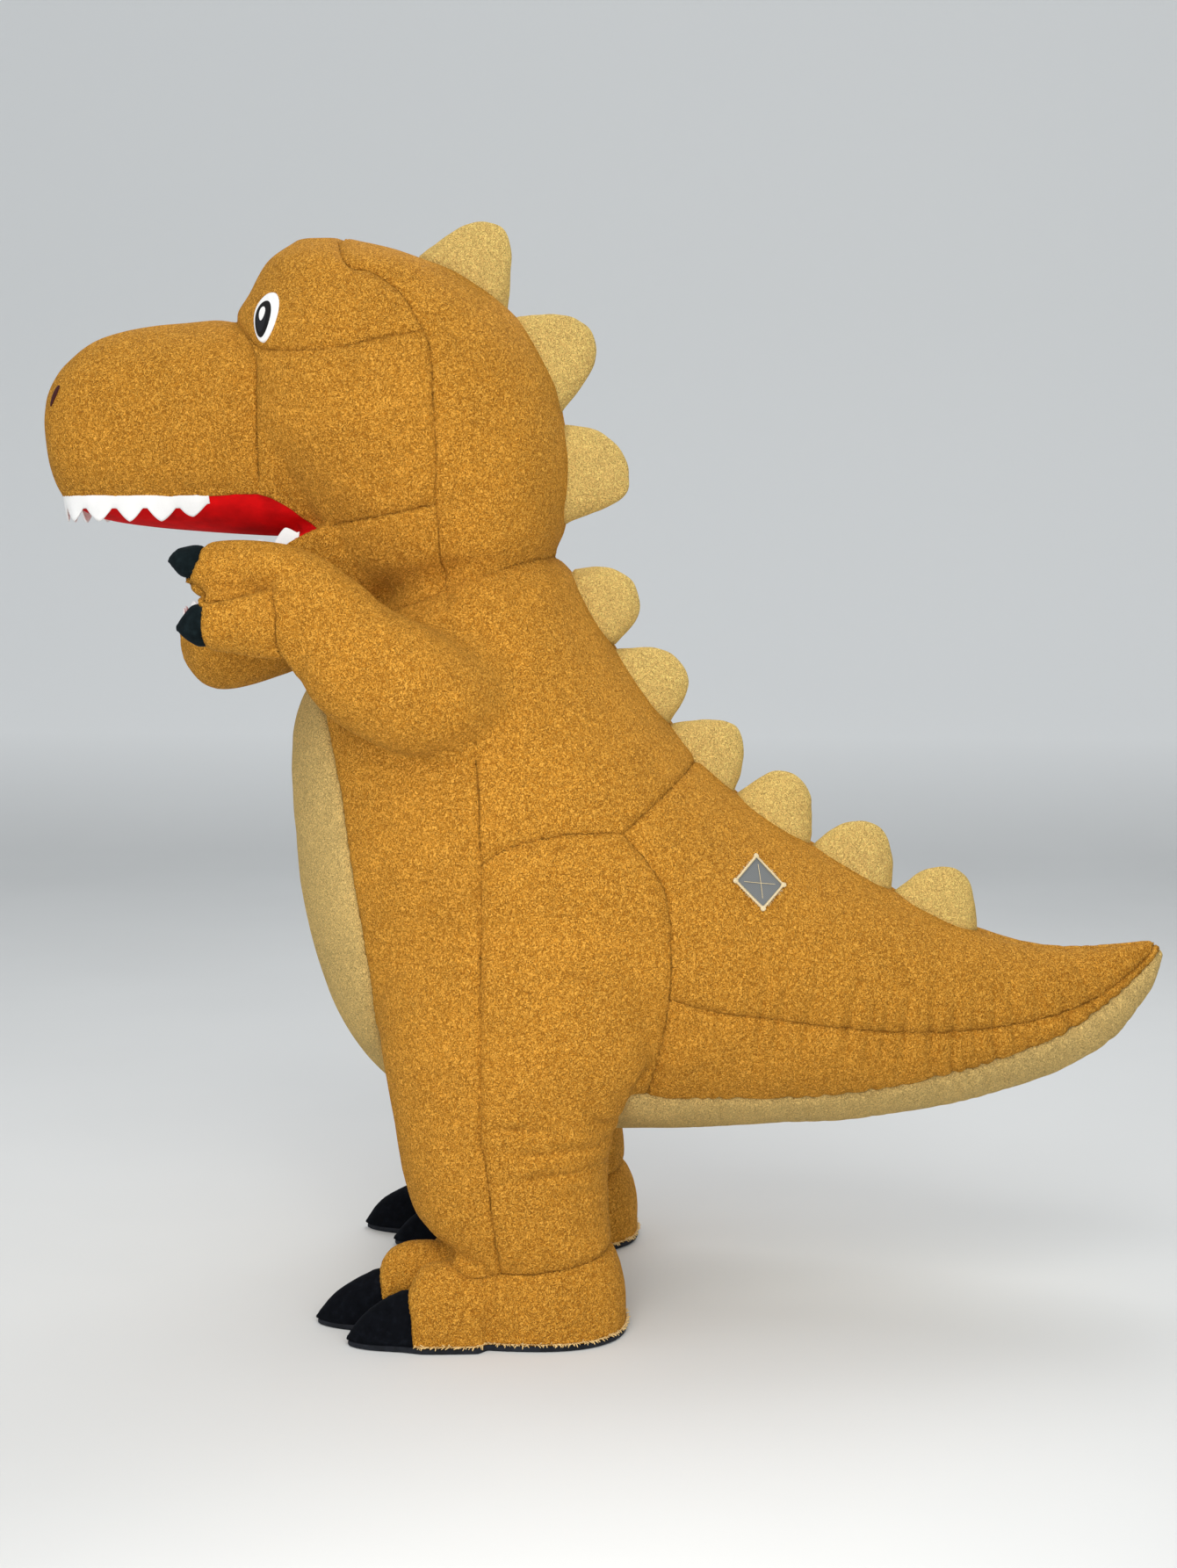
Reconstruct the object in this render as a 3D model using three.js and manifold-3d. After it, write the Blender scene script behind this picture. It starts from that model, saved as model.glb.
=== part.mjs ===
import * as THREE from 'three';
import Module from 'manifold-3d';

const wasm = await Module();
wasm.setup();

// Driving dimensions in millimetres.
// Z is up, the nose points to -Y, the tail to +Y, the left side is +X.
const WALL = 3.0;
const SEAM_GAP = 0.3;
const LAY_GAP = 0.3;
const SOLE_THICK = 12.0;
const EYE_HEIGHT = 102.0;
const EYE_WIDTH = 68.0;
const FELT_THICK = 3.0;
const TOOTH_PITCH = 68.0;
const TOOTH_BAND = 26.0;
const TOOTH_DEPTH = 54.0;
const LOWER_TOOTH_END = 0.45;
const LEG_INNER_LIMIT = 100.0;
const LEG_BACK_LIMIT = 62.0;
const FOOTING = SOLE_THICK + SEAM_GAP / 2;
// The tables place the snout and tail tips at -1146 and 1162, and the part is centred on its length.
const MIDDLE = 8.0;

// small helpers
const signedPower = (v, p) => Math.sign(v) * Math.pow(Math.abs(v), p);

// Smooth in-between rows for a table of numbers.
function spline(rows, per) {
  const out = [];
  for (let i = 0; i < rows.length - 1; i += 1) {
    const a = rows[Math.max(0, i - 1)];
    const b = rows[i];
    const c = rows[i + 1];
    const d = rows[Math.min(rows.length - 1, i + 2)];
    for (let k = 0; k < per; k += 1) {
      const t = k / per;
      out.push(b.map((_, j) => 0.5 * (2 * b[j] + (c[j] - a[j]) * t
        + (2 * a[j] - 5 * b[j] + 4 * c[j] - d[j]) * t * t
        + (3 * b[j] - a[j] - 3 * c[j] + d[j]) * t * t * t)));
    }
  }
  out.push(rows[rows.length - 1].slice());
  return out;
}

// Closed skin through a list of rings with a pole at each end.
function ringSkin(first, rings, last) {
  const count = rings[0].length;
  const points = [first, ...rings.flat(), last];
  const faces = [];
  const at = (r, i) => 1 + r * count + (i % count);
  for (let i = 0; i < count; i += 1) faces.push([0, at(0, i + 1), at(0, i)]);
  for (let r = 0; r < rings.length - 1; r += 1) {
    for (let i = 0; i < count; i += 1) {
      faces.push([at(r, i), at(r, i + 1), at(r + 1, i + 1)]);
      faces.push([at(r, i), at(r + 1, i + 1), at(r + 1, i)]);
    }
  }
  const end = points.length - 1;
  for (let i = 0; i < count; i += 1) {
    faces.push([end, at(rings.length - 1, i), at(rings.length - 1, i + 1)]);
  }
  return orient({ points, faces });
}

function orient(skin) {
  let volume = 0;
  for (const [a, b, c] of skin.faces) {
    const p = skin.points[a];
    const q = skin.points[b];
    const r = skin.points[c];
    volume += p[0] * (q[1] * r[2] - q[2] * r[1])
      - p[1] * (q[0] * r[2] - q[2] * r[0])
      + p[2] * (q[0] * r[1] - q[1] * r[0]);
  }
  if (volume < 0) skin.faces = skin.faces.map(([a, b, c]) => [a, c, b]);
  return skin;
}

// The same skin moved along its own normals, outward for a positive distance.
function moved(skin, distance) {
  if (distance === 0) return skin;
  const normals = skin.points.map(() => new THREE.Vector3());
  for (const [a, b, c] of skin.faces) {
    const p = new THREE.Vector3(...skin.points[a]);
    const q = new THREE.Vector3(...skin.points[b]);
    const r = new THREE.Vector3(...skin.points[c]);
    const n = q.clone().sub(p).cross(r.clone().sub(p));
    for (const i of [a, b, c]) normals[i].add(n);
  }
  const points = skin.points.map((p, i) => {
    const n = normals[i].normalize();
    return [p[0] + n.x * distance, p[1] + n.y * distance, p[2] + n.z * distance];
  });
  return { points, faces: skin.faces };
}

const mirrored = (skin) => ({
  points: skin.points.map(([x, y, z]) => [-x, y, z]),
  faces: skin.faces.map(([a, b, c]) => [a, c, b]),
});

function solid(skin) {
  return new wasm.Manifold(new wasm.Mesh({
    numProp: 3,
    vertProperties: new Float32Array(skin.points.flat()),
    triVerts: new Uint32Array(skin.faces.flat()),
  }));
}

const join = (list) => wasm.Manifold.union(list);

// A form is a skin that can be asked for at any distance, with a side for mirrored limbs.
const form = (skin) => (distance) => solid(moved(skin, distance));
const pair = (skin) => ({ L: form(skin), R: form(mirrored(skin)) });

// section shapes
// Oval section between a front or lower point and a back or upper point.
function oval(fy, fz, by, bz, cx, w, power, count) {
  const ring = [];
  for (let i = 0; i < count; i += 1) {
    const a = (2 * Math.PI * (i + 0.5)) / count;
    const t = signedPower(Math.cos(a), 2 / power);
    const s = signedPower(Math.sin(a), 2 / power);
    ring.push([cx + w * s, (fy + by) / 2 + ((by - fy) / 2) * t, (fz + bz) / 2 + ((bz - fz) / 2) * t]);
  }
  return ring;
}

function ovalForm(rows, per, count, first, last) {
  const rings = spline(rows, per).map(([fy, fz, by, bz, cx, w, n]) => oval(fy, fz, by, bz, cx, w, n, count));
  return ringSkin(first, rings, last);
}

// trunk and tail
// columns: front y, front z, back y, back z, centre x, half width, roundness
const TRUNK = [
  [-440, 1475, -100, 1565, 0, 238, 2.1],
  [-560, 1340, -60, 1490, 0, 290, 2.1],
  [-632, 1210, -4, 1385, 0, 345, 2.1],
  [-642, 1050, 80, 1258, 0, 386, 2.1],
  [-631, 860, 175, 1142, 0, 408, 2.1],
  [-590, 680, 240, 1078, 0, 412, 2.1],
  [-510, 512, 315, 1010, 0, 404, 2.1],
  [-356, 384, 390, 961, 0, 384, 2.1],
  [-120, 349, 458, 923, 0, 350, 2.1],
  [130, 347, 545, 876, 0, 310, 2.1],
  [356, 355, 640, 822, 0, 268, 2.1],
  [560, 371, 750, 771, 0, 220, 2.1],
  [770, 411, 865, 736, 0, 165, 2.1],
  [940, 466, 960, 726, 0, 118, 2.1],
  [1060, 541, 1065, 733, 0, 75, 2.1],
  [1130, 637, 1136, 744, 0, 38, 2.1],
];
const trunk = form(ovalForm(TRUNK, 1, 18, [0, -268, 1535], [0, 1162, 726]));

// skull
const SKULL = [
  [-430, 1455, -92, 1528, 0, 244, 2.3],
  [-545, 1500, -82, 1594, 0, 270, 2.3],
  [-590, 1585, -72, 1670, 0, 288, 2.3],
  [-655, 1670, -72, 1736, 0, 297, 2.3],
  [-748, 1780, -85, 1815, 0, 300, 2.3],
  [-762, 1890, -106, 1892, 0, 294, 2.25],
  [-757, 2000, -160, 1991, 0, 272, 2.05],
  [-723, 2058, -212, 2042, 0, 249, 2.0],
  [-687, 2123, -292, 2100, 0, 204, 2.0],
  [-625, 2171, -410, 2146, 0, 112, 2.0],
];
const skullSkin = ovalForm(SKULL, 1, 16, [0, -265, 1440], [0, -530, 2178]);
const skull = form(skullSkin);

// snout
// columns: y, top z, widest z, half width, virtual bottom z, lip z, palate z
const SNOUT = [
  [-1140, 1838, 1788, 62, 1732, 1752, 1736],
  [-1124, 1884, 1788, 118, 1674, 1694, 1678],
  [-1092, 1931, 1789, 160, 1618, 1656, 1632],
  [-1026, 1977, 1795, 187, 1584, 1649, 1600],
  [-900, 2001, 1802, 203, 1564, 1649, 1583],
  [-720, 2008, 1810, 219, 1556, 1656, 1571],
  [-630, 1992, 1808, 223, 1540, 1636, 1570],
  [-500, 1930, 1785, 190, 1560, 1600, 1580],
];
const LIP_POWER = 2.3;
const UPPER_POINTS = 10;
const LOWER_POINTS = 4;
const lipWidth = ([, , w, hw, b, l]) => hw * Math.pow(1 - Math.pow((w - l) / (w - b), LIP_POWER), 1 / LIP_POWER);

function mouthRing(row) {
  const [y, top, wide, hw, low, lip, palate] = row;
  const lw = lipWidth(row);
  const start = -Math.asin(Math.pow((wide - lip) / (wide - low), LIP_POWER / 2));
  const ring = [];
  for (let i = 0; i <= UPPER_POINTS; i += 1) {
    const a = start + ((Math.PI - 2 * start) * i) / UPPER_POINTS;
    const s = signedPower(Math.sin(a), 2 / LIP_POWER);
    ring.push([hw * signedPower(Math.cos(a), 2 / LIP_POWER), y, wide + s * (s > 0 ? top - wide : wide - low)]);
  }
  for (let i = 1; i < LOWER_POINTS; i += 1) {
    const a = Math.PI + (Math.PI * i) / LOWER_POINTS;
    ring.push([lw * signedPower(Math.cos(a), 0.9), y, lip + (lip - palate) * signedPower(Math.sin(a), 0.9)]);
  }
  return ring;
}
const snoutSkin = ringSkin([0, -1146, 1790], SNOUT.map(mouthRing), [0, -440, 1760]);
const snout = form(snoutSkin);

// lower jaw
// columns: rim y, rim z, underside y, underside z, lining y, lining z, half width
const JAW = [
  [-470, 1588, -440, 1420, -474, 1598, 214],
  [-584, 1576, -600, 1318, -590, 1590, 201],
  [-680, 1515, -695, 1277, -690, 1531, 190],
  [-764, 1446, -775, 1257, -777, 1460, 170],
  [-830, 1397, -826, 1264, -842, 1408, 132],
  [-872, 1374, -866, 1300, -880, 1380, 66],
];
function jawRing([ry, rz, uy, uz, ly, lz, w]) {
  const ring = [];
  for (let i = 0; i <= 8; i += 1) {
    const a = (Math.PI * i) / 8;
    const s = signedPower(Math.sin(a), 2 / 2.4);
    ring.push([w * signedPower(Math.cos(a), 2 / 2.4), ry + (uy - ry) * s, rz + (uz - rz) * s]);
  }
  for (let i = 1; i < 4; i += 1) {
    const a = Math.PI - (Math.PI * i) / 4;
    ring.push([w * Math.cos(a), ry + (ly - ry) * Math.sin(a), rz + (lz - rz) * Math.sin(a)]);
  }
  return ring;
}
const jaw = form(ringSkin([0, -420, 1500], JAW.map(jawRing), [0, -889, 1350]));

// legs
const LEG = [
  [-289, 163, 37, 162, 290, 150, 2.3],
  [-362, 250, 24, 245, 288, 165, 2.1],
  [-400, 405, 33, 400, 282, 178, 2.1],
  [-430, 590, 130, 580, 264, 192, 2.1],
  [-420, 770, 150, 762, 242, 191, 2.1],
  [-330, 915, 85, 908, 222, 155, 2.0],
];
const leg = pair(ovalForm(LEG, 1, 12, [288, -130, 105], [208, -120, 985]));

// feet
const FOOT = [
  [-330, -14, 60, -14, 290, 151, 2.5],
  [-325, 90, 53, 90, 290, 150, 2.4],
  [-292, 178, 33, 178, 290, 150, 2.3],
];
const foot = pair(ovalForm(FOOT, 1, 12, [290, -135, -20], [290, -130, 205]));

// One toe with its claw: distance from the tip, height, half width.
const TOE_STEPS = [
  [10, 28, 14],
  [50, 70, 34],
  [122, 114, 46],
  [165, 162, 59],
  [270, 178, 62],
];
// columns: tip x, tip y, heading x per mm of y, height factor
const TOES = {
  outer: [422, -484, -0.12, 0.94],
  middle: [306, -565, -0.02, 1.0],
  inner: [192, -484, 0.12, 0.94],
};
function toeSkin([tx, ty, lean, tall]) {
  const rings = TOE_STEPS.map(([d, h, w]) => {
    const ring = [];
    for (const turn of [0, 45, 90, 135, 180, 270]) {
      const a = (turn * Math.PI) / 180;
      const up = signedPower(Math.sin(a), 0.87);
      ring.push([tx + lean * d + w * signedPower(Math.cos(a), 0.87), ty + d, up > 0 ? up * h * tall : up * 20]);
    }
    return ring;
  });
  const back = TOE_STEPS[TOE_STEPS.length - 1][0] + 26;
  return ringSkin([tx, ty, 8], rings, [tx + lean * back, ty + back, 60]);
}
const toes = Object.fromEntries(Object.entries(TOES).map(([k, v]) => [k, pair(toeSkin(v))]));

// arms
// columns: upper y, upper z, under y, under z, centre x, half width, roundness
const ARM = [
  [-172, 1318, -182, 1216, 330, 84, 2.1],
  [-240, 1358, -228, 1178, 354, 112, 2.1],
  [-340, 1417, -342, 1155, 375, 120, 2.1],
  [-440, 1482, -452, 1196, 390, 112, 2.1],
  [-520, 1530, -536, 1268, 402, 98, 2.1],
  [-580, 1553, -600, 1400, 400, 78, 2.1],
  [-660, 1563, -672, 1452, 394, 60, 2.1],
  [-736, 1558, -752, 1486, 392, 47, 2.1],
  [-785, 1546, -796, 1508, 392, 26, 2.0],
];
const arm = pair(ovalForm(ARM, 1, 9, [318, -150, 1270], [392, -814, 1527]));
const FINGER = [
  [-500, 1484, -532, 1278, 412, 72, 2.1],
  [-590, 1488, -606, 1330, 432, 67, 2.1],
  [-668, 1468, -668, 1351, 440, 59, 2.1],
  [-726, 1452, -725, 1359, 446, 48, 2.1],
  [-766, 1426, -762, 1378, 448, 25, 2.0],
];
const finger = pair(ovalForm(FINGER, 1, 8, [404, -440, 1380], [449, -784, 1398]));

// whole body forms
const SIDES = ['L', 'R'];
const bodyForm = (d) => join([
  trunk(d), skull(d), snout(d), jaw(d),
  ...SIDES.flatMap((s) => [leg[s](d), foot[s](d), ...Object.values(toes).map((t) => t[s](d))]),
]);
const headForm = (d) => join([skull(d), snout(d), jaw(d)]);
const armForm = (s, d) => join([arm[s](d), finger[s](d)]);

const bodyOut = bodyForm(0);
const bodyIn = bodyForm(-WALL);
const armOut = Object.fromEntries(SIDES.map((s) => [s, armForm(s, 0)]));
const armIn = Object.fromEntries(SIDES.map((s) => [s, armForm(s, -WALL)]));
const bodyClear = bodyForm(LAY_GAP);
const shell = bodyOut.subtract(bodyIn).subtract(armIn.L).subtract(armIn.R);

// seams in the side view, as y and z
const curve = (points) => spline(points, 1);
const S = {
  neckFront: curve([[-760, 1180], [-655, 1262], [-590, 1317]]),
  neckThroat: curve([[-590, 1317], [-540, 1372], [-432, 1435], [-363, 1456], [-307, 1484]]),
  neckBack: curve([[-307, 1484], [-190, 1507], [-69, 1541], [60, 1580]]),
  belly: curve([[-590, 1317], [-560, 1262], [-539, 1205], [-506, 1076], [-485, 937], [-466, 815], [-452, 692],
    [-448, 604], [-436, 524]]),
  crotchFront: curve([[-436, 524], [-402, 470], [-330, 428], [-213, 404]]),
  crotchBack: curve([[-213, 404], [-60, 412], [62, 463]]),
  tailCreamRoot: curve([[62, 463], [100, 458]]),
  tailCream: curve([[100, 458], [140, 453], [387, 447], [565, 461], [744, 497], [925, 555], [1035, 623],
    [1128, 701], [1200, 765]]),
  side: curve([[-307, 1484], [-259, 1323], [-226, 1173], [-214, 946]]),
  sideLow: curve([[-214, 946], [-215, 750], [-213, 578], [-213, 404]]),
  legSide: curve([[-213, 404], [-205, 380], [-194, 282], [-181, 138]]),
  ankleFront: curve([[-181, 138], [-236, 132], [-289, 166], [-460, 230]]),
  ankleBack: curve([[-181, 138], [-104, 141], [37, 162], [120, 180]]),
  thighTop: curve([[-214, 946], [-160, 980], [-59, 1003], [57, 1003]]),
  tailRootTop: curve([[57, 1003], [113, 1050], [189, 1115], [300, 1210]]),
  tailRoot: curve([[57, 1003], [113, 934], [143, 874], [150, 769], [149, 675]]),
  tailRootLow: curve([[149, 675], [132, 577], [100, 458]]),
  tailSide: curve([[149, 675], [250, 646], [348, 630], [469, 609], [647, 588], [826, 592], [972, 621],
    [1088, 688], [1200, 800]]),
  lip: curve([[-1240, 1650], [-1119, 1652], [-1064, 1650], [-1016, 1648], [-930, 1648], [-812, 1651],
    [-720, 1656], [-679, 1656]]),
  lipBack: curve([[-679, 1656], [-650, 1647], [-615, 1627], [-589, 1603], [-560, 1587]]),
  cheekFront: curve([[-679, 1656], [-674, 1726], [-675, 1845], [-683, 1930], [-722, 1981]]),
  brow: curve([[-722, 1981], [-682, 1947], [-656, 1935], [-587, 1930], [-501, 1933], [-431, 1949], [-335, 1968]]),
  browFront: curve([[-722, 1981], [-775, 2030], [-880, 2100]]),
  headLow: curve([[-307, 1484], [-309, 1588], [-312, 1631]]),
  headMid: curve([[-312, 1631], [-310, 1756], [-320, 1923], [-335, 1968]]),
  headTop: curve([[-335, 1968], [-378, 2039], [-440, 2085], [-496, 2106], [-560, 2240]]),
  jawSeam: curve([[-560, 1587], [-443, 1605], [-312, 1631]]),
  rim: curve([[-1000, 1326], [-935, 1348], [-872, 1374], [-812, 1408], [-764, 1446], [-710, 1493], [-645, 1540],
    [-600, 1568], [-560, 1587]]),
};
const back = (points) => points.slice().reverse();

// Closed outline from seams laid end to end, pulled in by half the seam gap.
function outline(...parts) {
  const points = [];
  for (const part of parts) {
    for (const p of part) {
      const q = points[points.length - 1];
      if (!q || Math.hypot(p[0] - q[0], p[1] - q[1]) > 0.01) points.push(p);
    }
  }
  const f = points[0];
  const l = points[points.length - 1];
  if (Math.hypot(f[0] - l[0], f[1] - l[1]) < 0.01) points.pop();
  return points;
}
function turned(points) {
  const area = THREE.ShapeUtils.area(points.map(([a, b]) => new THREE.Vector2(a, b)));
  return area < 0 ? points.slice().reverse() : points;
}
function pulledIn(points, distance) {
  const list = turned(points);
  const n = list.length;
  return list.map((p, i) => {
    const a = list[(i + n - 1) % n];
    const b = list[(i + 1) % n];
    const d1 = new THREE.Vector2(p[0] - a[0], p[1] - a[1]).normalize();
    const d2 = new THREE.Vector2(b[0] - p[0], b[1] - p[1]).normalize();
    const n1 = new THREE.Vector2(-d1.y, d1.x);
    const n2 = new THREE.Vector2(-d2.y, d2.x);
    const m = n1.clone().add(n2);
    const k = distance / Math.max(0.35, 0.5 * m.lengthSq());
    return [p[0] + m.x * k, p[1] + m.y * k];
  });
}

// Straight block with a side-view outline between two x values.
function block(raw, x0, x1) {
  const points = turned(raw);
  const flat = points.map(([a, b]) => new THREE.Vector2(a, b));
  const tris = THREE.ShapeUtils.triangulateShape(flat, []);
  const n = points.length;
  const all = [...points.map(([y, z]) => [x0, y, z]), ...points.map(([y, z]) => [x1, y, z])];
  const faces = [];
  for (const [a, b, c] of tris) {
    faces.push([a, b, c]);
    faces.push([n + a, n + c, n + b]);
  }
  for (let i = 0; i < n; i += 1) {
    const j = (i + 1) % n;
    faces.push([i, n + i, n + j]);
    faces.push([i, n + j, j]);
  }
  return solid(orient({ points: all, faces }));
}
const half = SEAM_GAP / 2;
const region = (points, x0, x1) => block(pulledIn(points, half), x0, x1);
const rect = (y0, z0, y1, z1) => [[y0, z0], [y1, z0], [y1, z1], [y0, z1]];
const sideRange = { L: [half, 900], R: [-900, -half] };
const mirrorRange = (s, a, b) => (s === 'L' ? [a, b] : [-b, -a]);

// parts
const colours = {
  brown: 0xc98a35, cream: 0xdcba7c, red: 0xc01018, white: 0xf2f2f0, black: 0x1a1c20, slate: 0x1d2630,
  grey: 0x8a8c8e, maroon: 0x4a1712,
};
const materials = Object.fromEntries(Object.entries(colours).map(([name, color]) => [
  name, new THREE.MeshStandardMaterial({ name, color, roughness: 0.9, metalness: 0 }),
]));
const group = new THREE.Group();

function largest(shape) {
  const bits = shape.decompose();
  bits.sort((a, b) => b.volume() - a.volume());
  return bits[0];
}

function add(name, shape, material) {
  const best = largest(shape).simplify(0.1);
  const mesh = best.getMesh();
  const count = mesh.numProp;
  const position = [];
  for (let i = 0; i < mesh.vertProperties.length; i += count) {
    position.push(mesh.vertProperties[i], mesh.vertProperties[i + 1] - MIDDLE, mesh.vertProperties[i + 2]);
  }
  const geometry = new THREE.BufferGeometry();
  geometry.setAttribute('position', new THREE.Float32BufferAttribute(position, 3));
  geometry.setIndex(Array.from(mesh.triVerts));
  geometry.computeVertexNormals();
  const node = new THREE.Mesh(geometry, materials[material]);
  node.name = name;
  group.add(node);
}

// Regions of each panel in the side view.
const SNOUT_SIDE = outline(S.lip, S.cheekFront, S.browFront, [[-880, 2300], [-1240, 2300]]);
const CROWN = outline(back(S.browFront), S.brow, S.headTop, [[-560, 2300], [-880, 2300]]);
const CHEEK = outline(S.cheekFront, S.brow, back(S.headMid), back(S.jawSeam), back(S.lipBack));
const JAW_SIDE = outline(S.jawSeam, back(S.headLow), back(S.neckThroat), back(S.neckFront),
  [[-1000, 1180]], S.rim);
const SKULL_BACK = outline(S.headLow, S.headMid, S.headTop, [[60, 2240]], back(S.neckBack));
const TORSO_FRONT = outline(S.neckThroat, S.side, S.sideLow, back(S.crotchFront), back(S.belly));
const LEG_FRONT = outline([[-460, 524]], [[-213, 524]], [[-213, 404]], S.legSide, S.ankleFront);
const TORSO_BACK = outline(S.neckBack, [[300, 1580]], back(S.tailRootTop), back(S.thighTop), back(S.side));
const THIGH = outline(S.thighTop, S.tailRoot, S.tailRootLow, back(S.tailCreamRoot), back(S.crotchBack),
  back(S.sideLow));
const LEG_BACK = outline([[-213, 524]], [[LEG_BACK_LIMIT, 524]], [[LEG_BACK_LIMIT, 168]], back(S.ankleBack),
  back(S.legSide));
const FOOT_SIDE = outline(S.ankleFront, [[-700, 230]], [[-700, FOOTING]], [[120, FOOTING]], back(S.ankleBack));
const TAIL_UPPER = outline(S.tailRootTop, [[1300, 1210]], [[1300, 800]], back(S.tailSide), back(S.tailRoot));
const TAIL_LOWER = outline(S.tailSide, back(S.tailCream), back(S.tailRootLow));
const BELLY = outline(back(S.neckFront), S.belly, S.crotchFront, [[-213, 250], [-900, 250], [-900, 1180]]);
const TAIL_UNDER = outline(S.crotchBack, S.tailCreamRoot, S.tailCream, [[1300, 765], [1300, 250], [-213, 250]]);

// Claw regions: on the foot as distance behind the toe tip, on the hand in the side view.
const clawSide = (ty) => [[ty - 30, FOOTING], [ty + 139, FOOTING], [ty + 132, 60], [ty + 116, 130], [ty - 30, 130]];
const CLAW_SPAN = { outer: [352, 500], middle: [258, 352], inner: [120, 258] };
const HAND_CLAWS = {
  upper: [[-737, 1578], [-744, 1520], [-757, 1478], [-900, 1478], [-900, 1578]],
  lower: [[-727, 1476], [-730, 1410], [-725, 1340], [-900, 1330], [-900, 1476]],
};
const FINGER_SIDE = [[-598, 1480], [-582, 1424], [-594, 1300], [-900, 1300], [-900, 1477], [-757, 1477], [-725, 1455]];

const cut = (points, s) => shell.intersect(region(points, ...sideRange[s]));
const across = (points) => shell.intersect(region(points, -900, 900));

// Head, mouth and teeth.
add('snout', across(SNOUT_SIDE), 'brown');
add('crown', across(CROWN), 'brown');

const aboveBy = (points, rise) => points.map(([y, z]) => [y, z + rise]);
const PALATE_SIDE = outline(aboveBy(S.lip, 8), aboveBy(S.lipBack, 8), [[-560, 1540], [-1240, 1540]]);
const palate = snout(-WALL - SEAM_GAP).subtract(snout(-2 * WALL - SEAM_GAP))
  .intersect(block(PALATE_SIDE, -900, 900));
const LINING_SIDE = outline(aboveBy(S.rim, -8), [[-560, 1640], [-1000, 1640]]);
const lining = jaw(-WALL - SEAM_GAP).subtract(jaw(-2 * WALL - SEAM_GAP))
  .intersect(block(LINING_SIDE, -900, 900));

// Plan point where a ray from the mouth's middle leaves the skin at a given height.
function planPoint(skin, z, cy, angle) {
  const dx = Math.sin(angle);
  const dy = -Math.cos(angle);
  let far = 0;
  for (const face of skin.faces) {
    const hits = [];
    for (let k = 0; k < 3; k += 1) {
      const p = skin.points[face[k]];
      const q = skin.points[face[(k + 1) % 3]];
      if ((p[2] - z) * (q[2] - z) < 0) {
        const t = (z - p[2]) / (q[2] - p[2]);
        hits.push([p[0] + (q[0] - p[0]) * t, p[1] + (q[1] - p[1]) * t - cy]);
      }
    }
    if (hits.length < 2) continue;
    const [[ax, ay], [bx, by]] = hits;
    const det = dx * (ay - by) - dy * (ax - bx);
    if (Math.abs(det) < 1e-9) continue;
    const r = (ax * (ay - by) - ay * (ax - bx)) / det;
    const u = (dx * ay - dy * ax) / det;
    if (u >= -1e-6 && u <= 1 + 1e-6 && r > far) far = r;
  }
  return [dx * far, cy + dy * far];
}

// Points spaced evenly along a line.
function spaced(points, count) {
  const lengths = [0];
  for (let i = 1; i < points.length; i += 1) {
    lengths.push(lengths[i - 1] + Math.hypot(...points[i].map((v, k) => v - points[i - 1][k])));
  }
  const total = lengths[lengths.length - 1];
  const out = [];
  let i = 1;
  for (let k = 0; k <= count; k += 1) {
    const want = (total * k) / count;
    while (i < points.length - 1 && lengths[i] < want) i += 1;
    const t = (want - lengths[i - 1]) / (lengths[i] - lengths[i - 1]);
    out.push(points[i - 1].map((v, j) => v + (points[i][j] - v) * t));
  }
  return { out, total };
}

// Felt band with rounded teeth along a line; grow widens it, teeth false keeps it plain.
function toothBand(line, direction, thick, grow, teeth, tips = 1) {
  const { total } = spaced(line, 10);
  const number = Math.round(total / TOOTH_PITCH);
  const steps = teeth ? number * 4 : number * 2;
  const { out } = spaced(line, steps);
  const points = [];
  const faces = [];
  out.forEach(([x, y, z], i) => {
    const a = out[Math.max(0, i - 1)];
    const b = out[Math.min(steps, i + 1)];
    const l = Math.hypot(b[0] - a[0], b[1] - a[1]);
    const nx = (b[1] - a[1]) / l;
    const ny = -(b[0] - a[0]) / l;
    const bump = [0, 0.5, 1, 0.5][i % 4];
    const fade = Math.min(1, tips + 4 * Math.min(i, steps - i) / steps);
    const depth = teeth ? fade * (TOOTH_BAND + (TOOTH_DEPTH - TOOTH_BAND) * bump) : TOOTH_DEPTH;
    const z0 = z - direction * grow;
    const z1 = z + direction * (depth + grow);
    for (const [side, level] of [[grow, z0], [grow, z1], [-thick - grow, z1], [-thick - grow, z0]]) {
      points.push([x + nx * side, y + ny * side, level]);
    }
  });
  for (let i = 0; i < steps; i += 1) {
    for (let k = 0; k < 4; k += 1) {
      const a = i * 4 + k;
      const b = i * 4 + ((k + 1) % 4);
      faces.push([a, b, b + 4]);
      faces.push([a, b + 4, a + 4]);
    }
  }
  const e = steps * 4;
  faces.push([0, 2, 1], [0, 3, 2], [e, e + 1, e + 2], [e, e + 2, e + 3]);
  return solid(orient({ points, faces }));
}

const lipLine = [];
for (let i = -24; i <= 24; i += 1) {
  const angle = (i / 24) * 1.83;
  const [x, y] = planPoint(snoutSkin, 1652.5, -822, angle);
  lipLine.push([x, y, 1647.6]);
}
const RIM_HALF = [[0, -886, 1375], [66, -872, 1374], [112, -850, 1384], [148, -812, 1408], [170, -764, 1446],
  [184, -710, 1493], [194, -645, 1540], [199, -600, 1568]];
const rimHalf = spline(RIM_HALF, 3).map(([x, y, z]) => [x - 0.2, y + 0.2, z + 1.0]);
const rimLine = [...back(rimHalf).map(([x, y, z]) => [-x, y, z]), ...rimHalf.slice(1)];
const upperBand = toothBand(lipLine, -1, FELT_THICK, 0, true);
const lowerBand = toothBand(rimLine, 1, FELT_THICK, 0, true, LOWER_TOOTH_END);
const headSolid = join([skull(LAY_GAP), jaw(LAY_GAP)]);
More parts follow.
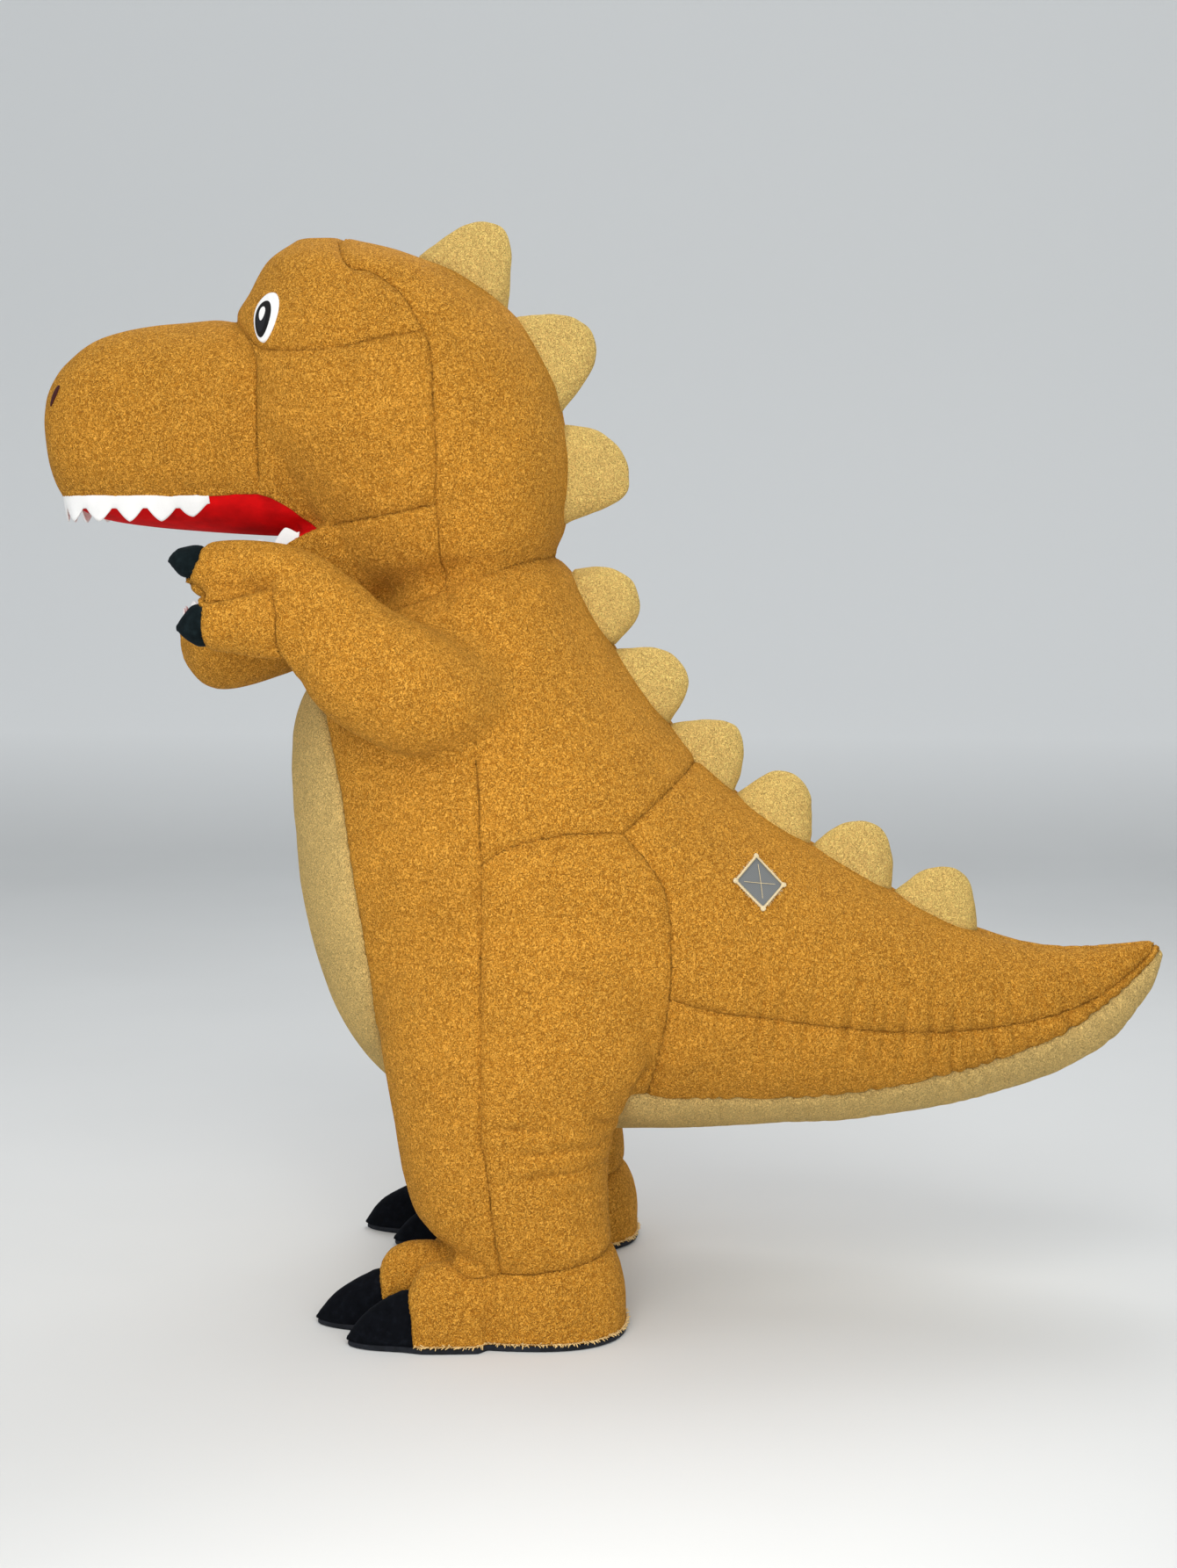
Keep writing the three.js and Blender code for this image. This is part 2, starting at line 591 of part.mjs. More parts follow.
add('palate', palate.subtract(headSolid).subtract(toothBand(lipLine, -1, FELT_THICK, LAY_GAP, false)), 'red');
add('jaw_lining', lining.subtract(join([skull(LAY_GAP), snout(LAY_GAP)]))
  .subtract(toothBand(rimLine, 1, FELT_THICK, LAY_GAP, false)), 'red');
const mouthClear = join([shellNear(), skull(LAY_GAP)]);
add('teeth_upper', upperBand.subtract(mouthClear), 'white');
add('teeth_lower', lowerBand.subtract(mouthClear), 'white');

// Band of body just outside the mouth edges, used to keep the felt clear of the brown panels.
function shellNear() {
  const brown = [SNOUT_SIDE, CHEEK, JAW_SIDE].map((side) => block(pulledIn(side, -half), -900, 900));
  return bodyForm(2 * LAY_GAP).intersect(join(brown));
}

// Sides: torso, thighs, tail, legs, feet and arms.
for (const s of SIDES) {
  const legRange = mirrorRange(s, LEG_INNER_LIMIT + half, 900);
  add(`cheek_${s}`, cut(CHEEK, s), 'brown');
  add(`jaw_side_${s}`, cut(JAW_SIDE, s), 'brown');
  add(`skull_${s}`, cut(SKULL_BACK, s), 'brown');
  add(`torso_front_${s}`, shell.intersect(join([
    region(TORSO_FRONT, ...sideRange[s]), region(LEG_FRONT, ...legRange)])), 'brown');
  add(`torso_back_${s}`, cut(TORSO_BACK, s), 'brown');
  add(`thigh_${s}`, shell.intersect(join([
    region(THIGH, ...sideRange[s]), region(LEG_BACK, ...legRange)])), 'brown');
  add(`tail_upper_${s}`, cut(TAIL_UPPER, s), 'brown');
  add(`tail_lower_${s}`, cut(TAIL_LOWER, s), 'brown');

  const claws = Object.entries(TOES).map(([name, [, ty]]) => [name, clawSide(ty), CLAW_SPAN[name]]);
  const taken = join(claws.map(([, side, span]) => block(pulledIn(side, -half), ...mirrorRange(s, ...span))));
  const whole = cut(FOOT_SIDE, s);
  add(`foot_${s}`, whole.subtract(taken), 'brown');
  for (const [name, side, [x0, x1]] of claws) {
    const room = block(pulledIn(side, half), ...mirrorRange(s, x0 + half, x1 - half));
    add(`claw_${name}_${s}`, whole.intersect(room), 'black');
  }
  const print = join([foot[s](4), ...Object.values(toes).map((t) => t[s](4))]);
  add(`sole_${s}`, print.intersect(block(rect(-800, 0, 300, SOLE_THICK), -900, 900)), 'black');

  const sleeve = armOut[s].subtract(armIn[s]).subtract(bodyClear);
  const upperClaw = region(HAND_CLAWS.upper, -900, 900);
  const lowerClaw = region(HAND_CLAWS.lower, -900, 900);
  const clawRoom = join(Object.values(HAND_CLAWS).map((p) => block(pulledIn(p, -half), -900, 900)));
  add(`arm_${s}`, sleeve.subtract(clawRoom).subtract(block(pulledIn(FINGER_SIDE, -half), -900, 900)), 'brown');
  add(`finger_${s}`, sleeve.intersect(region(FINGER_SIDE, -900, 900)).subtract(clawRoom), 'brown');
  add(`hand_claw_upper_${s}`, sleeve.intersect(upperClaw), 'slate');
  add(`hand_claw_lower_${s}`, sleeve.intersect(lowerClaw), 'slate');
}

// Cream underside.
const legBlocks = join(SIDES.map((s) => block(rect(-460, 250, LEG_BACK_LIMIT + half, 600),
  ...mirrorRange(s, LEG_INNER_LIMIT - half, 900))));
const creamKeep = trunk(0.05);
add('belly', across(BELLY).subtract(legBlocks).intersect(creamKeep), 'cream');
add('tail_underside', across(TAIL_UNDER).subtract(legBlocks).intersect(creamKeep), 'cream');

// Back spines: outline from the front of the base over the tip to the back of the base.
const SPINE_BASE_HALF = 60.0;
const SPINE_TIP_HALF = 26.0;
const SPINES = [
  [-378, 2138, -284, 2199, -230, 2203, -200, 2179, -190, 2120, -198, 2026],
  [-177, 2014, -105, 2021, -42, 2002, -19, 1968, -26, 1911, -87, 1823],
  [-78, 1796, -15, 1788, 32, 1751, 50, 1698, 36, 1650, -79, 1594],
  [-61, 1504, 3, 1508, 54, 1483, 73, 1438, 61, 1392, 23, 1349],
  [21, 1340, 94, 1345, 142, 1329, 172, 1288, 167, 1245, 136, 1186],
  [138, 1183, 203, 1196, 269, 1183, 290, 1137, 284, 1084, 270, 1042],
  [274, 1037, 340, 1085, 392, 1082, 426, 1041, 431, 985, 429, 938],
  [433, 933, 487, 976, 541, 985, 580, 964, 597, 915, 599, 843],
  [604, 838, 660, 882, 716, 891, 753, 866, 768, 820, 778, 762],
];
function spineSkin(row) {
  const knots = [];
  for (let i = 0; i < row.length; i += 2) knots.push([row[i], row[i + 1]]);
  const edge = spline(knots, 1);
  const a = knots[0];
  const b = knots[knots.length - 1];
  const t = new THREE.Vector2(b[0] - a[0], b[1] - a[1]).normalize();
  const inward = [t.y, -t.x];
  const tip = knots[2];
  const side = (tip[0] - a[0]) * inward[0] + (tip[1] - a[1]) * inward[1] > 0 ? -1 : 1;
  const deep = [inward[0] * side * 34, inward[1] * side * 34];
  const loop = [...edge, [b[0] + deep[0] - t.x * 12, b[1] + deep[1] - t.y * 12],
    [a[0] + deep[0] + t.x * 12, a[1] + deep[1] + t.y * 12]];
  const centre = [(a[0] + b[0]) * 0.36 + tip[0] * 0.28, (a[1] + b[1]) * 0.36 + tip[1] * 0.28];
  const rise = ([y, z]) => -side * ((y - a[0]) * inward[0] + (z - a[1]) * inward[1]);
  const top = rise(tip);
  const halfAt = (p) => {
    const f = Math.min(1, Math.max(-0.2, rise(p) / top));
    return SPINE_BASE_HALF + (SPINE_TIP_HALF - SPINE_BASE_HALF) * f;
  };
  const rings = [-50, 0, 50].map((deg) => {
    const r = (deg * Math.PI) / 180;
    const k = Math.pow(Math.cos(r), 0.55);
    return loop.map(([y, z]) => {
      const p = [centre[0] + (y - centre[0]) * k, centre[1] + (z - centre[1]) * k];
      return [halfAt(p) * Math.sin(r), ...p];
    });
  });
  const middle = halfAt(centre);
  return ringSkin([-middle, ...centre], rings, [middle, ...centre]);
}
SPINES.forEach((row, i) => {
  const skin = spineSkin(row);
  let spine = solid(skin).subtract(solid(moved(skin, -WALL))).subtract(bodyClear);
  if (i > 0) spine = spine.subtract(solid(moved(spineSkin(SPINES[i - 1]), LAY_GAP)));
  add(`spine_${i + 1}`, spine, 'cream');
});

// Eyes, nostrils and the patch lie on their panels, cut from the same skin moved out.
function skinHit(skin, from, towards) {
  const ray = new THREE.Ray(new THREE.Vector3(...from), new THREE.Vector3(...towards).normalize());
  const v = (i) => new THREE.Vector3(...skin.points[i]);
  let best = null;
  for (const [a, b, c] of skin.faces) {
    const hit = ray.intersectTriangle(v(a), v(b), v(c), false, new THREE.Vector3());
    if (!hit) continue;
    const far = hit.distanceTo(ray.origin);
    if (!best || far > best.far) {
      const n = v(b).sub(v(a)).cross(v(c).sub(v(a))).normalize();
      best = { far, point: hit, normal: n };
    }
  }
  return best;
}
// Straight plug along a direction with a flat outline given as across and up.
function plug(centre, normal, raw, depth0, depth1) {
  const shape = turned(raw);
  const acrossDir = new THREE.Vector3(-normal.y, normal.x, 0).normalize();
  const upDir = normal.clone().cross(acrossDir).normalize();
  if (upDir.z < 0) upDir.negate();
  const tris = THREE.ShapeUtils.triangulateShape(shape.map(([u, v]) => new THREE.Vector2(u, v)), []);
  const n = shape.length;
  const at = (d) => shape.map(([u, v]) => centre.clone().addScaledVector(acrossDir, u)
    .addScaledVector(upDir, v).addScaledVector(normal, d).toArray());
  const faces = [];
  for (const [a, b, c] of tris) {
    faces.push([a, b, c]);
    faces.push([n + a, n + c, n + b]);
  }
  for (let i = 0; i < n; i += 1) {
    const j = (i + 1) % n;
    faces.push([i, n + i, n + j]);
    faces.push([i, n + j, j]);
  }
  return solid(orient({ points: [...at(depth0), ...at(depth1)], faces }));
}
// Oval, a little pointed at the bottom.
function eyeOutline(width, height, drop) {
  const shape = [];
  for (let i = 0; i < 10; i += 1) {
    const a = (2 * Math.PI * (i + 0.5)) / 10;
    const taper = 1 - 0.16 * (1 - Math.sin(a)) * (1 - Math.sin(a)) * 0.5;
    shape.push([(width / 2) * Math.cos(a) * taper, (height / 2) * Math.sin(a) - drop]);
  }
  return shape;
}
const mirrorSkin = (skin, s) => (s === 'L' ? skin : mirrored(skin));
const layer = (make, low, high) => make(high).subtract(make(low));
const headLow = layer(headForm, LAY_GAP, LAY_GAP + 2);
const headHigh = layer(headForm, 2 * LAY_GAP + 2, 2 * LAY_GAP + 3.5);
for (const s of SIDES) {
  const sign = s === 'L' ? 1 : -1;
  const eye = skinHit(skullSkin, [0, -470, 1997], [sign * 0.745, -0.667, 0]);
  add(`eye_white_${s}`, headLow.intersect(plug(eye.point, eye.normal, eyeOutline(EYE_WIDTH, EYE_HEIGHT, 0),
    -40, 60)), 'white');
  add(`pupil_${s}`, headHigh.intersect(plug(eye.point, eye.normal,
    eyeOutline(EYE_WIDTH * 0.56, EYE_HEIGHT * 0.6, 3), -40, 60)), 'black');
  const nose = skinHit(snoutSkin, [0, -1000, 1852], [sign * 0.62, -0.785, 0]);
  const slit = eyeOutline(15, 42, 0);
  add(`nostril_${s}`, layer(snout, LAY_GAP, LAY_GAP + 1.5).intersect(plug(nose.point, nose.normal, slit,
    -20, 40)), 'maroon');
}
const PATCH = [[311, 939], [365, 884], [324, 845], [270, 899]];
add('vent_patch', layer(trunk, LAY_GAP, LAY_GAP + 2).intersect(block(PATCH, 40, 500)), 'grey');

export default group;
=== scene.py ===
"""Looks of an inflatable dinosaur costume: plush panels, padded spines, felt teeth, velvet claws."""

import math

import bmesh
import bpy
import numpy as np
from bpy.props import FloatProperty, FloatVectorProperty, PointerProperty
from bpy.types import Operator, Panel, PropertyGroup
from mathutils import Matrix, Vector, noise
from mathutils.bvhtree import BVHTree


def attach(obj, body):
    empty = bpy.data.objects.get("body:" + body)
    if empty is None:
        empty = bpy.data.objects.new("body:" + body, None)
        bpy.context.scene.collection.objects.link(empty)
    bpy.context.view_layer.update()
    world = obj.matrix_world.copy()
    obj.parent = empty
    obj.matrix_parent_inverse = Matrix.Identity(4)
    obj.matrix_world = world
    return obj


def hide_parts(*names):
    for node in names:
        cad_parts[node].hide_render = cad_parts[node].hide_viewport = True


bl_info = {
    "name": "Inflatable dinosaur costume",
    "version": (1, 0, 0),
    "blender": (4, 5, 0),
    "location": "View3D > Sidebar > Costume",
    "description": "Builds the plush, felt and velvet pieces of a standing inflated costume",
    "category": "Object",
}

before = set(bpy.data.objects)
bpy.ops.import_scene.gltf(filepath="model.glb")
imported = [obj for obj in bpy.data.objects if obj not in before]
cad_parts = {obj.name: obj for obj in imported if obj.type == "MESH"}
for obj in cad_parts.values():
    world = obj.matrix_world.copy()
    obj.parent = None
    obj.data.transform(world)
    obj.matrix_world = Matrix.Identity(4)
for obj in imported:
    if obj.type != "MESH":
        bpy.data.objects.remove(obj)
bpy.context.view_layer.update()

# Made by one step and used by a later one: the skin's fields and ray tree, finishes, node trees.
made = {}

# Forms of the inflated body, in millimetres

# The tables put the snout tip at y -1146 and the tail tip at 1162, so every piece moves by this
# many metres to stand in the middle.
MIDDLE = 0.008

# columns of the oval forms, trunk to finger: front y, front z, back y, back z, centre x, half
# width, roundness. The ends are x, y and z of the two poles.
TRUNK = [
    (-440, 1475, -100, 1565, 0, 238, 2.1),
    (-560, 1340, -60, 1490, 0, 290, 2.1),
    (-632, 1210, -4, 1385, 0, 345, 2.1),
    (-642, 1050, 80, 1258, 0, 386, 2.1),
    (-631, 860, 175, 1142, 0, 408, 2.1),
    (-590, 680, 240, 1078, 0, 412, 2.1),
    (-510, 512, 315, 1010, 0, 404, 2.1),
    (-356, 384, 390, 961, 0, 384, 2.1),
    (-120, 349, 458, 923, 0, 350, 2.1),
    (130, 347, 545, 876, 0, 310, 2.1),
    (356, 355, 640, 822, 0, 268, 2.1),
    (560, 371, 750, 771, 0, 220, 2.1),
    (770, 411, 865, 736, 0, 165, 2.1),
    (940, 466, 960, 726, 0, 118, 2.1),
    (1060, 541, 1065, 733, 0, 75, 2.1),
    (1130, 637, 1136, 744, 0, 38, 2.1),
]
TRUNK_ENDS = (0, -268, 1535), (0, 1162, 726)
SKULL = [
    (-430, 1455, -92, 1528, 0, 244, 2.3),
    (-545, 1500, -82, 1594, 0, 270, 2.3),
    (-590, 1585, -72, 1670, 0, 288, 2.3),
    (-655, 1670, -72, 1736, 0, 297, 2.3),
    (-748, 1780, -85, 1815, 0, 300, 2.3),
    (-762, 1890, -106, 1892, 0, 294, 2.25),
    (-757, 2000, -160, 1991, 0, 272, 2.05),
    (-723, 2058, -212, 2042, 0, 249, 2.0),
    (-687, 2123, -292, 2100, 0, 204, 2.0),
    (-625, 2171, -410, 2146, 0, 112, 2.0),
]
SKULL_ENDS = (0, -265, 1440), (0, -530, 2178)
LEG = [
    (-289, 163, 37, 162, 290, 150, 2.3),
    (-362, 250, 24, 245, 288, 165, 2.1),
    (-400, 405, 33, 400, 282, 178, 2.1),
    (-430, 590, 130, 580, 264, 192, 2.1),
    (-420, 770, 150, 762, 242, 191, 2.1),
    (-330, 915, 85, 908, 222, 155, 2.0),
]
LEG_ENDS = (288, -130, 105), (208, -120, 985)
FOOT = [
    (-330, -14, 60, -14, 290, 151, 2.5),
    (-325, 90, 53, 90, 290, 150, 2.4),
    (-292, 178, 33, 178, 290, 150, 2.3),
]
FOOT_ENDS = (290, -135, -20), (290, -130, 205)
ARM = [
    (-172, 1318, -182, 1216, 298, 80, 2.1),
    (-240, 1358, -228, 1178, 342, 106, 2.1),
    (-340, 1417, -342, 1155, 375, 120, 2.1),
    (-440, 1482, -452, 1196, 390, 112, 2.1),
    (-520, 1530, -536, 1268, 402, 98, 2.1),
    (-580, 1553, -600, 1400, 400, 78, 2.1),
    (-660, 1563, -668, 1444, 394, 61, 2.1),
    (-736, 1558, -744, 1452, 392, 54, 2.1),
    (-787, 1546, -797, 1506, 392, 26, 2.0),
]
ARM_ENDS = (286, -145, 1272), (392, -814, 1527)
FINGER = [
    (-500, 1484, -532, 1278, 412, 72, 2.1),
    (-590, 1488, -606, 1330, 432, 67, 2.1),
    (-668, 1476, -668, 1351, 438, 60, 2.1),
    (-732, 1462, -727, 1357, 442, 51, 2.1),
    (-766, 1426, -762, 1378, 448, 25, 2.0),
]
FINGER_ENDS = (404, -440, 1380), (449, -784, 1398)
# columns: y, top z, widest z, half width, virtual bottom z, lip z, palate z
SNOUT = [
    (-1140, 1838, 1788, 62, 1732, 1752, 1736),
    (-1124, 1884, 1788, 118, 1674, 1694, 1678),
    (-1092, 1931, 1789, 160, 1618, 1656, 1632),
    (-1026, 1977, 1795, 187, 1584, 1649, 1600),
    (-900, 2001, 1802, 203, 1564, 1649, 1583),
    (-720, 2008, 1810, 219, 1556, 1656, 1571),
    (-630, 1992, 1808, 223, 1540, 1636, 1570),
    (-500, 1930, 1785, 190, 1560, 1600, 1580),
]
SNOUT_ENDS = (0, -1146, 1790), (0, -440, 1760)
LIP_POWER = 2.3
# columns: rim y, rim z, underside y, underside z, lining y, lining z, half width
JAW = [
    (-470, 1588, -440, 1420, -474, 1598, 214),
    (-584, 1576, -600, 1318, -590, 1590, 201),
    (-680, 1515, -695, 1277, -690, 1531, 190),
    (-764, 1446, -775, 1257, -777, 1460, 170),
    (-830, 1397, -826, 1264, -842, 1408, 132),
    (-872, 1374, -866, 1300, -880, 1380, 66),
]
JAW_ENDS = (0, -420, 1500), (0, -889, 1350)
# columns: distance behind the tip, height, half width
TOE_STEPS = [(10, 28, 14), (50, 70, 36), (122, 114, 52), (165, 160, 65), (270, 176, 67)]
# columns: tip x, tip y, heading x per mm of y, height factor
TOES = {
    "outer": (422, -484, -0.12, 1.01),
    "middle": (306, -565, -0.02, 1.0),
    "inner": (192, -484, 0.12, 0.94),
}
RIM_HALF = [(0, -886, 1375), (66, -872, 1374), (112, -850, 1384), (148, -812, 1408),
            (170, -764, 1446), (184, -710, 1493), (194, -645, 1540), (199, -600, 1568)]
# Outline of each spine: front of the base, over the tip, to the back of the base, as y and z.
SPINES = [
    (-378, 2138, -284, 2199, -230, 2203, -200, 2179, -190, 2120, -198, 2026),
    (-177, 2014, -105, 2021, -42, 2002, -19, 1968, -26, 1911, -87, 1823),
    (-78, 1796, -15, 1788, 32, 1751, 50, 1698, 36, 1650, -79, 1594),
    (-61, 1504, 3, 1508, 54, 1483, 73, 1438, 61, 1392, 23, 1349),
    (21, 1340, 94, 1345, 142, 1329, 172, 1288, 167, 1245, 136, 1186),
    (138, 1183, 203, 1196, 269, 1183, 290, 1137, 284, 1084, 270, 1042),
    (274, 1037, 340, 1085, 392, 1082, 426, 1041, 431, 985, 429, 938),
    (433, 933, 487, 976, 541, 985, 580, 964, 597, 915, 599, 843),
    (604, 838, 660, 882, 716, 891, 753, 866, 768, 820, 778, 762),
]
PATCH = [(311, 939), (365, 884), (324, 845), (270, 899)]

# Seams in the side view, as y and z in millimetres.
SEAM = {
    "neck_front": [(-760, 1180), (-655, 1262), (-590, 1317)],
    "neck_throat": [(-590, 1317), (-540, 1372), (-432, 1435), (-363, 1456), (-307, 1484)],
    "neck_back": [(-307, 1484), (-190, 1507), (-69, 1541), (60, 1580)],
    "belly": [(-590, 1317), (-560, 1262), (-539, 1205), (-506, 1076), (-485, 937), (-466, 815),
              (-452, 692), (-448, 604), (-436, 524)],
    "crotch_front": [(-436, 524), (-402, 470), (-330, 428), (-213, 404)],
    "crotch_back": [(-213, 404), (-60, 412), (62, 463)],
    "cream_root": [(62, 463), (100, 458)],
    "tail_cream": [(100, 458), (140, 453), (387, 447), (565, 461), (744, 497), (925, 555),
                   (1035, 623), (1128, 701), (1200, 765)],
    "side": [(-307, 1484), (-259, 1323), (-226, 1173), (-214, 946)],
    "side_low": [(-214, 946), (-215, 750), (-213, 578), (-213, 404)],
    "leg_side": [(-213, 404), (-205, 380), (-194, 282), (-181, 148)],
    "ankle_front": [(-181, 148), (-236, 145), (-289, 173), (-460, 230)],
    "ankle_back": [(-181, 148), (-104, 152), (37, 170), (120, 184)],
    "thigh_top": [(-214, 946), (-160, 980), (-59, 1003), (57, 1003)],
    "tail_root_top": [(57, 1003), (113, 1050), (189, 1115), (300, 1210)],
    "tail_root": [(57, 1003), (113, 934), (143, 874), (150, 769), (149, 675)],
    "tail_root_low": [(149, 675), (132, 577), (100, 458)],
    "tail_side": [(149, 675), (250, 646), (348, 630), (469, 609), (647, 588), (826, 592),
                  (972, 621), (1088, 688), (1200, 800)],
    "lip": [(-1240, 1650), (-1119, 1652), (-1064, 1650), (-1016, 1648), (-930, 1648),
            (-812, 1651), (-720, 1656), (-679, 1656)],
    "lip_back": [(-679, 1656), (-650, 1647), (-615, 1627), (-589, 1603), (-560, 1587)],
    "cheek_front": [(-679, 1656), (-674, 1726), (-675, 1845), (-683, 1930), (-722, 1981)],
    "brow": [(-722, 1981), (-682, 1947), (-656, 1935), (-587, 1930), (-501, 1933),
             (-431, 1949), (-335, 1968)],
    "brow_front": [(-722, 1981), (-775, 2030), (-880, 2100)],
    "head_low": [(-307, 1484), (-309, 1588), (-312, 1631)],
    "head_mid": [(-312, 1631), (-310, 1756), (-320, 1923), (-335, 1968)],
    "head_top": [(-335, 1968), (-378, 2039), (-440, 2085), (-496, 2106), (-560, 2240)],
    "jaw_seam": [(-560, 1587), (-443, 1605), (-312, 1631)],
    "rim": [(-1000, 1326), (-935, 1348), (-872, 1374), (-812, 1408), (-764, 1446), (-710, 1493),
            (-645, 1540), (-600, 1568), (-560, 1587)],
    "mouth_floor": [(-560, 1587), (-622, 1571), (-1240, 1400)],
}

# Panels in the side view: seams laid end to end, - for a seam run backwards.
OUTLINES = {
    "snout": ["lip", "cheek_front", "brow_front", [(-880, 2300), (-1240, 2300)]],
    "crown": ["-brow_front", "brow", "head_top", [(-560, 2300), (-880, 2300)]],
    "cheek": ["cheek_front", "brow", "-head_mid", "-jaw_seam", "-lip_back"],
    "jaw_side": ["jaw_seam", "-head_low", "-neck_throat", "-neck_front", [(-1000, 1180)], "rim"],
    "skull": ["head_low", "head_mid", "head_top", [(60, 2240)], "-neck_back"],
    "torso_front": ["neck_throat", "side", "side_low", "-crotch_front", "-belly"],
    "leg_front": [[(-700, 640), (-213, 640), (-213, 404)], "leg_side", "ankle_front"],
    "torso_back": ["neck_back", [(300, 1580)], "-tail_root_top", "-thigh_top", "-side"],
    "thigh": ["thigh_top", "tail_root", "tail_root_low", "-cream_root", "-crotch_back", "-side_low"],
    "leg_back": [[(-213, 640), (240, 640), (240, 168)], "-ankle_back", "-leg_side"],
    "foot": ["ankle_front", [(-760, 230), (-760, -60), (140, -60)], "-ankle_back"],
    "tail_upper": ["tail_root_top", [(1300, 1210), (1300, 800)], "-tail_side", "-tail_root"],
    "tail_lower": ["tail_side", "-tail_cream", "-tail_root_low"],
    "belly": ["-neck_front", "belly", "crotch_front", [(-213, 250), (-900, 250), (-900, 1180)]],
    "tail_underside": ["crotch_back", "cream_root", "tail_cream",
                       [(1300, 765), (1300, 250), (-213, 250)]],
    "palate": ["-lip_back", "-lip", [(-1240, 1400)], "-mouth_floor"],
    "jaw_lining": ["mouth_floor", [(-1240, 1300)], "rim"],
    "finger": [[(-598, 1480), (-582, 1424), (-594, 1300), (-900, 1300), (-900, 1477), (-757, 1477),
                (-725, 1455)]],
}
HAND_CLAWS = {
    "upper": [(-735, 1590), (-745, 1530), (-766, 1488), (-900, 1466), (-900, 1590)],
    "lower": [(-729, 1443), (-731, 1400), (-727, 1340), (-900, 1330), (-900, 1458), (-762, 1458)],
}


# Curves, rings and skins

def spline(rows, per):
    """Smooth in-between rows through a table of numbers."""
    rows = np.asarray(rows, float)
    out = []
    last = len(rows) - 1
    for i in range(last):
        a, b, c, d = rows[max(0, i - 1)], rows[i], rows[i + 1], rows[min(last, i + 2)]
        for k in range(per):
            t = k / per
            out.append(0.5 * (2 * b + (c - a) * t + (2 * a - 5 * b + 4 * c - d) * t * t
                              + (3 * b - a - 3 * c + d) * t ** 3))
    out.append(rows[-1])
    return np.array(out)


def signed_power(v, p):
    return np.sign(v) * np.abs(v) ** p


def ring_skin(first, rings, last):
    """Closed skin through rings of points, with a pole at each end."""
    rings = np.asarray(rings, float)
    count = rings.shape[1]
    points = np.vstack([[first], rings.reshape(-1, 3), [last]])
    step = np.arange(count)
    after = (step + 1) % count
    faces = [(0, 1 + b, 1 + a) for a, b in zip(step, after)]
    for r in range(len(rings) - 1):
        low, high = 1 + r * count, 1 + (r + 1) * count
        faces += [(low + a, low + b, high + b, high + a) for a, b in zip(step, after)]
    low, end = 1 + (len(rings) - 1) * count, len(points) - 1
    faces += [(end, low + a, low + b) for a, b in zip(step, after)]
    return points, faces


def oval_rings(rows, per, count):
    angle = 2 * np.pi * (np.arange(count) + 0.5) / count
    rings = []
    for fy, fz, by, bz, cx, w, n in spline(rows, per):
        t = signed_power(np.cos(angle), 2 / n)
        s = signed_power(np.sin(angle), 2 / n)
        rings.append(np.stack([cx + w * s, (fy + by) / 2 + (by - fy) / 2 * t,
                               (fz + bz) / 2 + (bz - fz) / 2 * t], 1))
    return rings


def snout_rings(per):
    """Upper muzzle over the lips, with the shallow palate underneath."""
    rings = []
    for y, top, wide, hw, low, lip, palate in spline(SNOUT, per):
        lip = min(lip, wide - 4)
        ratio = np.clip((wide - lip) / (wide - low), 0, 1)
        lip_half = hw * (1 - ratio ** LIP_POWER) ** (1 / LIP_POWER)
        start = -math.asin(min(1.0, ratio ** (LIP_POWER / 2)))
        a = start + (math.pi - 2 * start) * np.arange(41) / 40
        s = signed_power(np.sin(a), 2 / LIP_POWER)
        over = np.stack([hw * signed_power(np.cos(a), 2 / LIP_POWER), np.full(41, y),
                         wide + s * np.where(s > 0, top - wide, wide - low)], 1)
        b = math.pi + math.pi * np.arange(1, 16) / 16
        under = np.stack([lip_half * signed_power(np.cos(b), 0.9), np.full(15, y),
                          lip + (lip - palate) * signed_power(np.sin(b), 0.9)], 1)
        rings.append(np.vstack([over, under]))
    return rings


def jaw_rings(per):
    rings = []
    for ry, rz, uy, uz, ly, lz, w in spline(JAW, per):
        a = np.pi * np.arange(33) / 32
        s = signed_power(np.sin(a), 2 / 2.4)
        low = np.stack([w * signed_power(np.cos(a), 2 / 2.4), ry + (uy - ry) * s, rz + (uz - rz) * s], 1)
        b = np.pi - np.pi * np.arange(1, 16) / 16
        high = np.stack([w * np.cos(b), ry + (ly - ry) * np.sin(b), rz + (lz - rz) * np.sin(b)], 1)
        rings.append(np.vstack([low, high]))
    return rings


def toe_rings(toe):
    tx, ty, lean, tall = TOES[toe]
    angle = 2 * np.pi * np.arange(32) / 32
    rings = []
    for d, h, w in spline([(0, 10, 5)] + TOE_STEPS, 4):
        up = signed_power(np.sin(angle), 0.87)
        rings.append(np.stack([tx + lean * d + w * signed_power(np.cos(angle), 0.87),
                               np.full(32, ty + d), np.where(up > 0, up * h * tall, up * 30)], 1))
    back = TOE_STEPS[-1][0] + 26
    return rings, (tx, ty - 3, 6), (tx + lean * back, ty + back, 60)


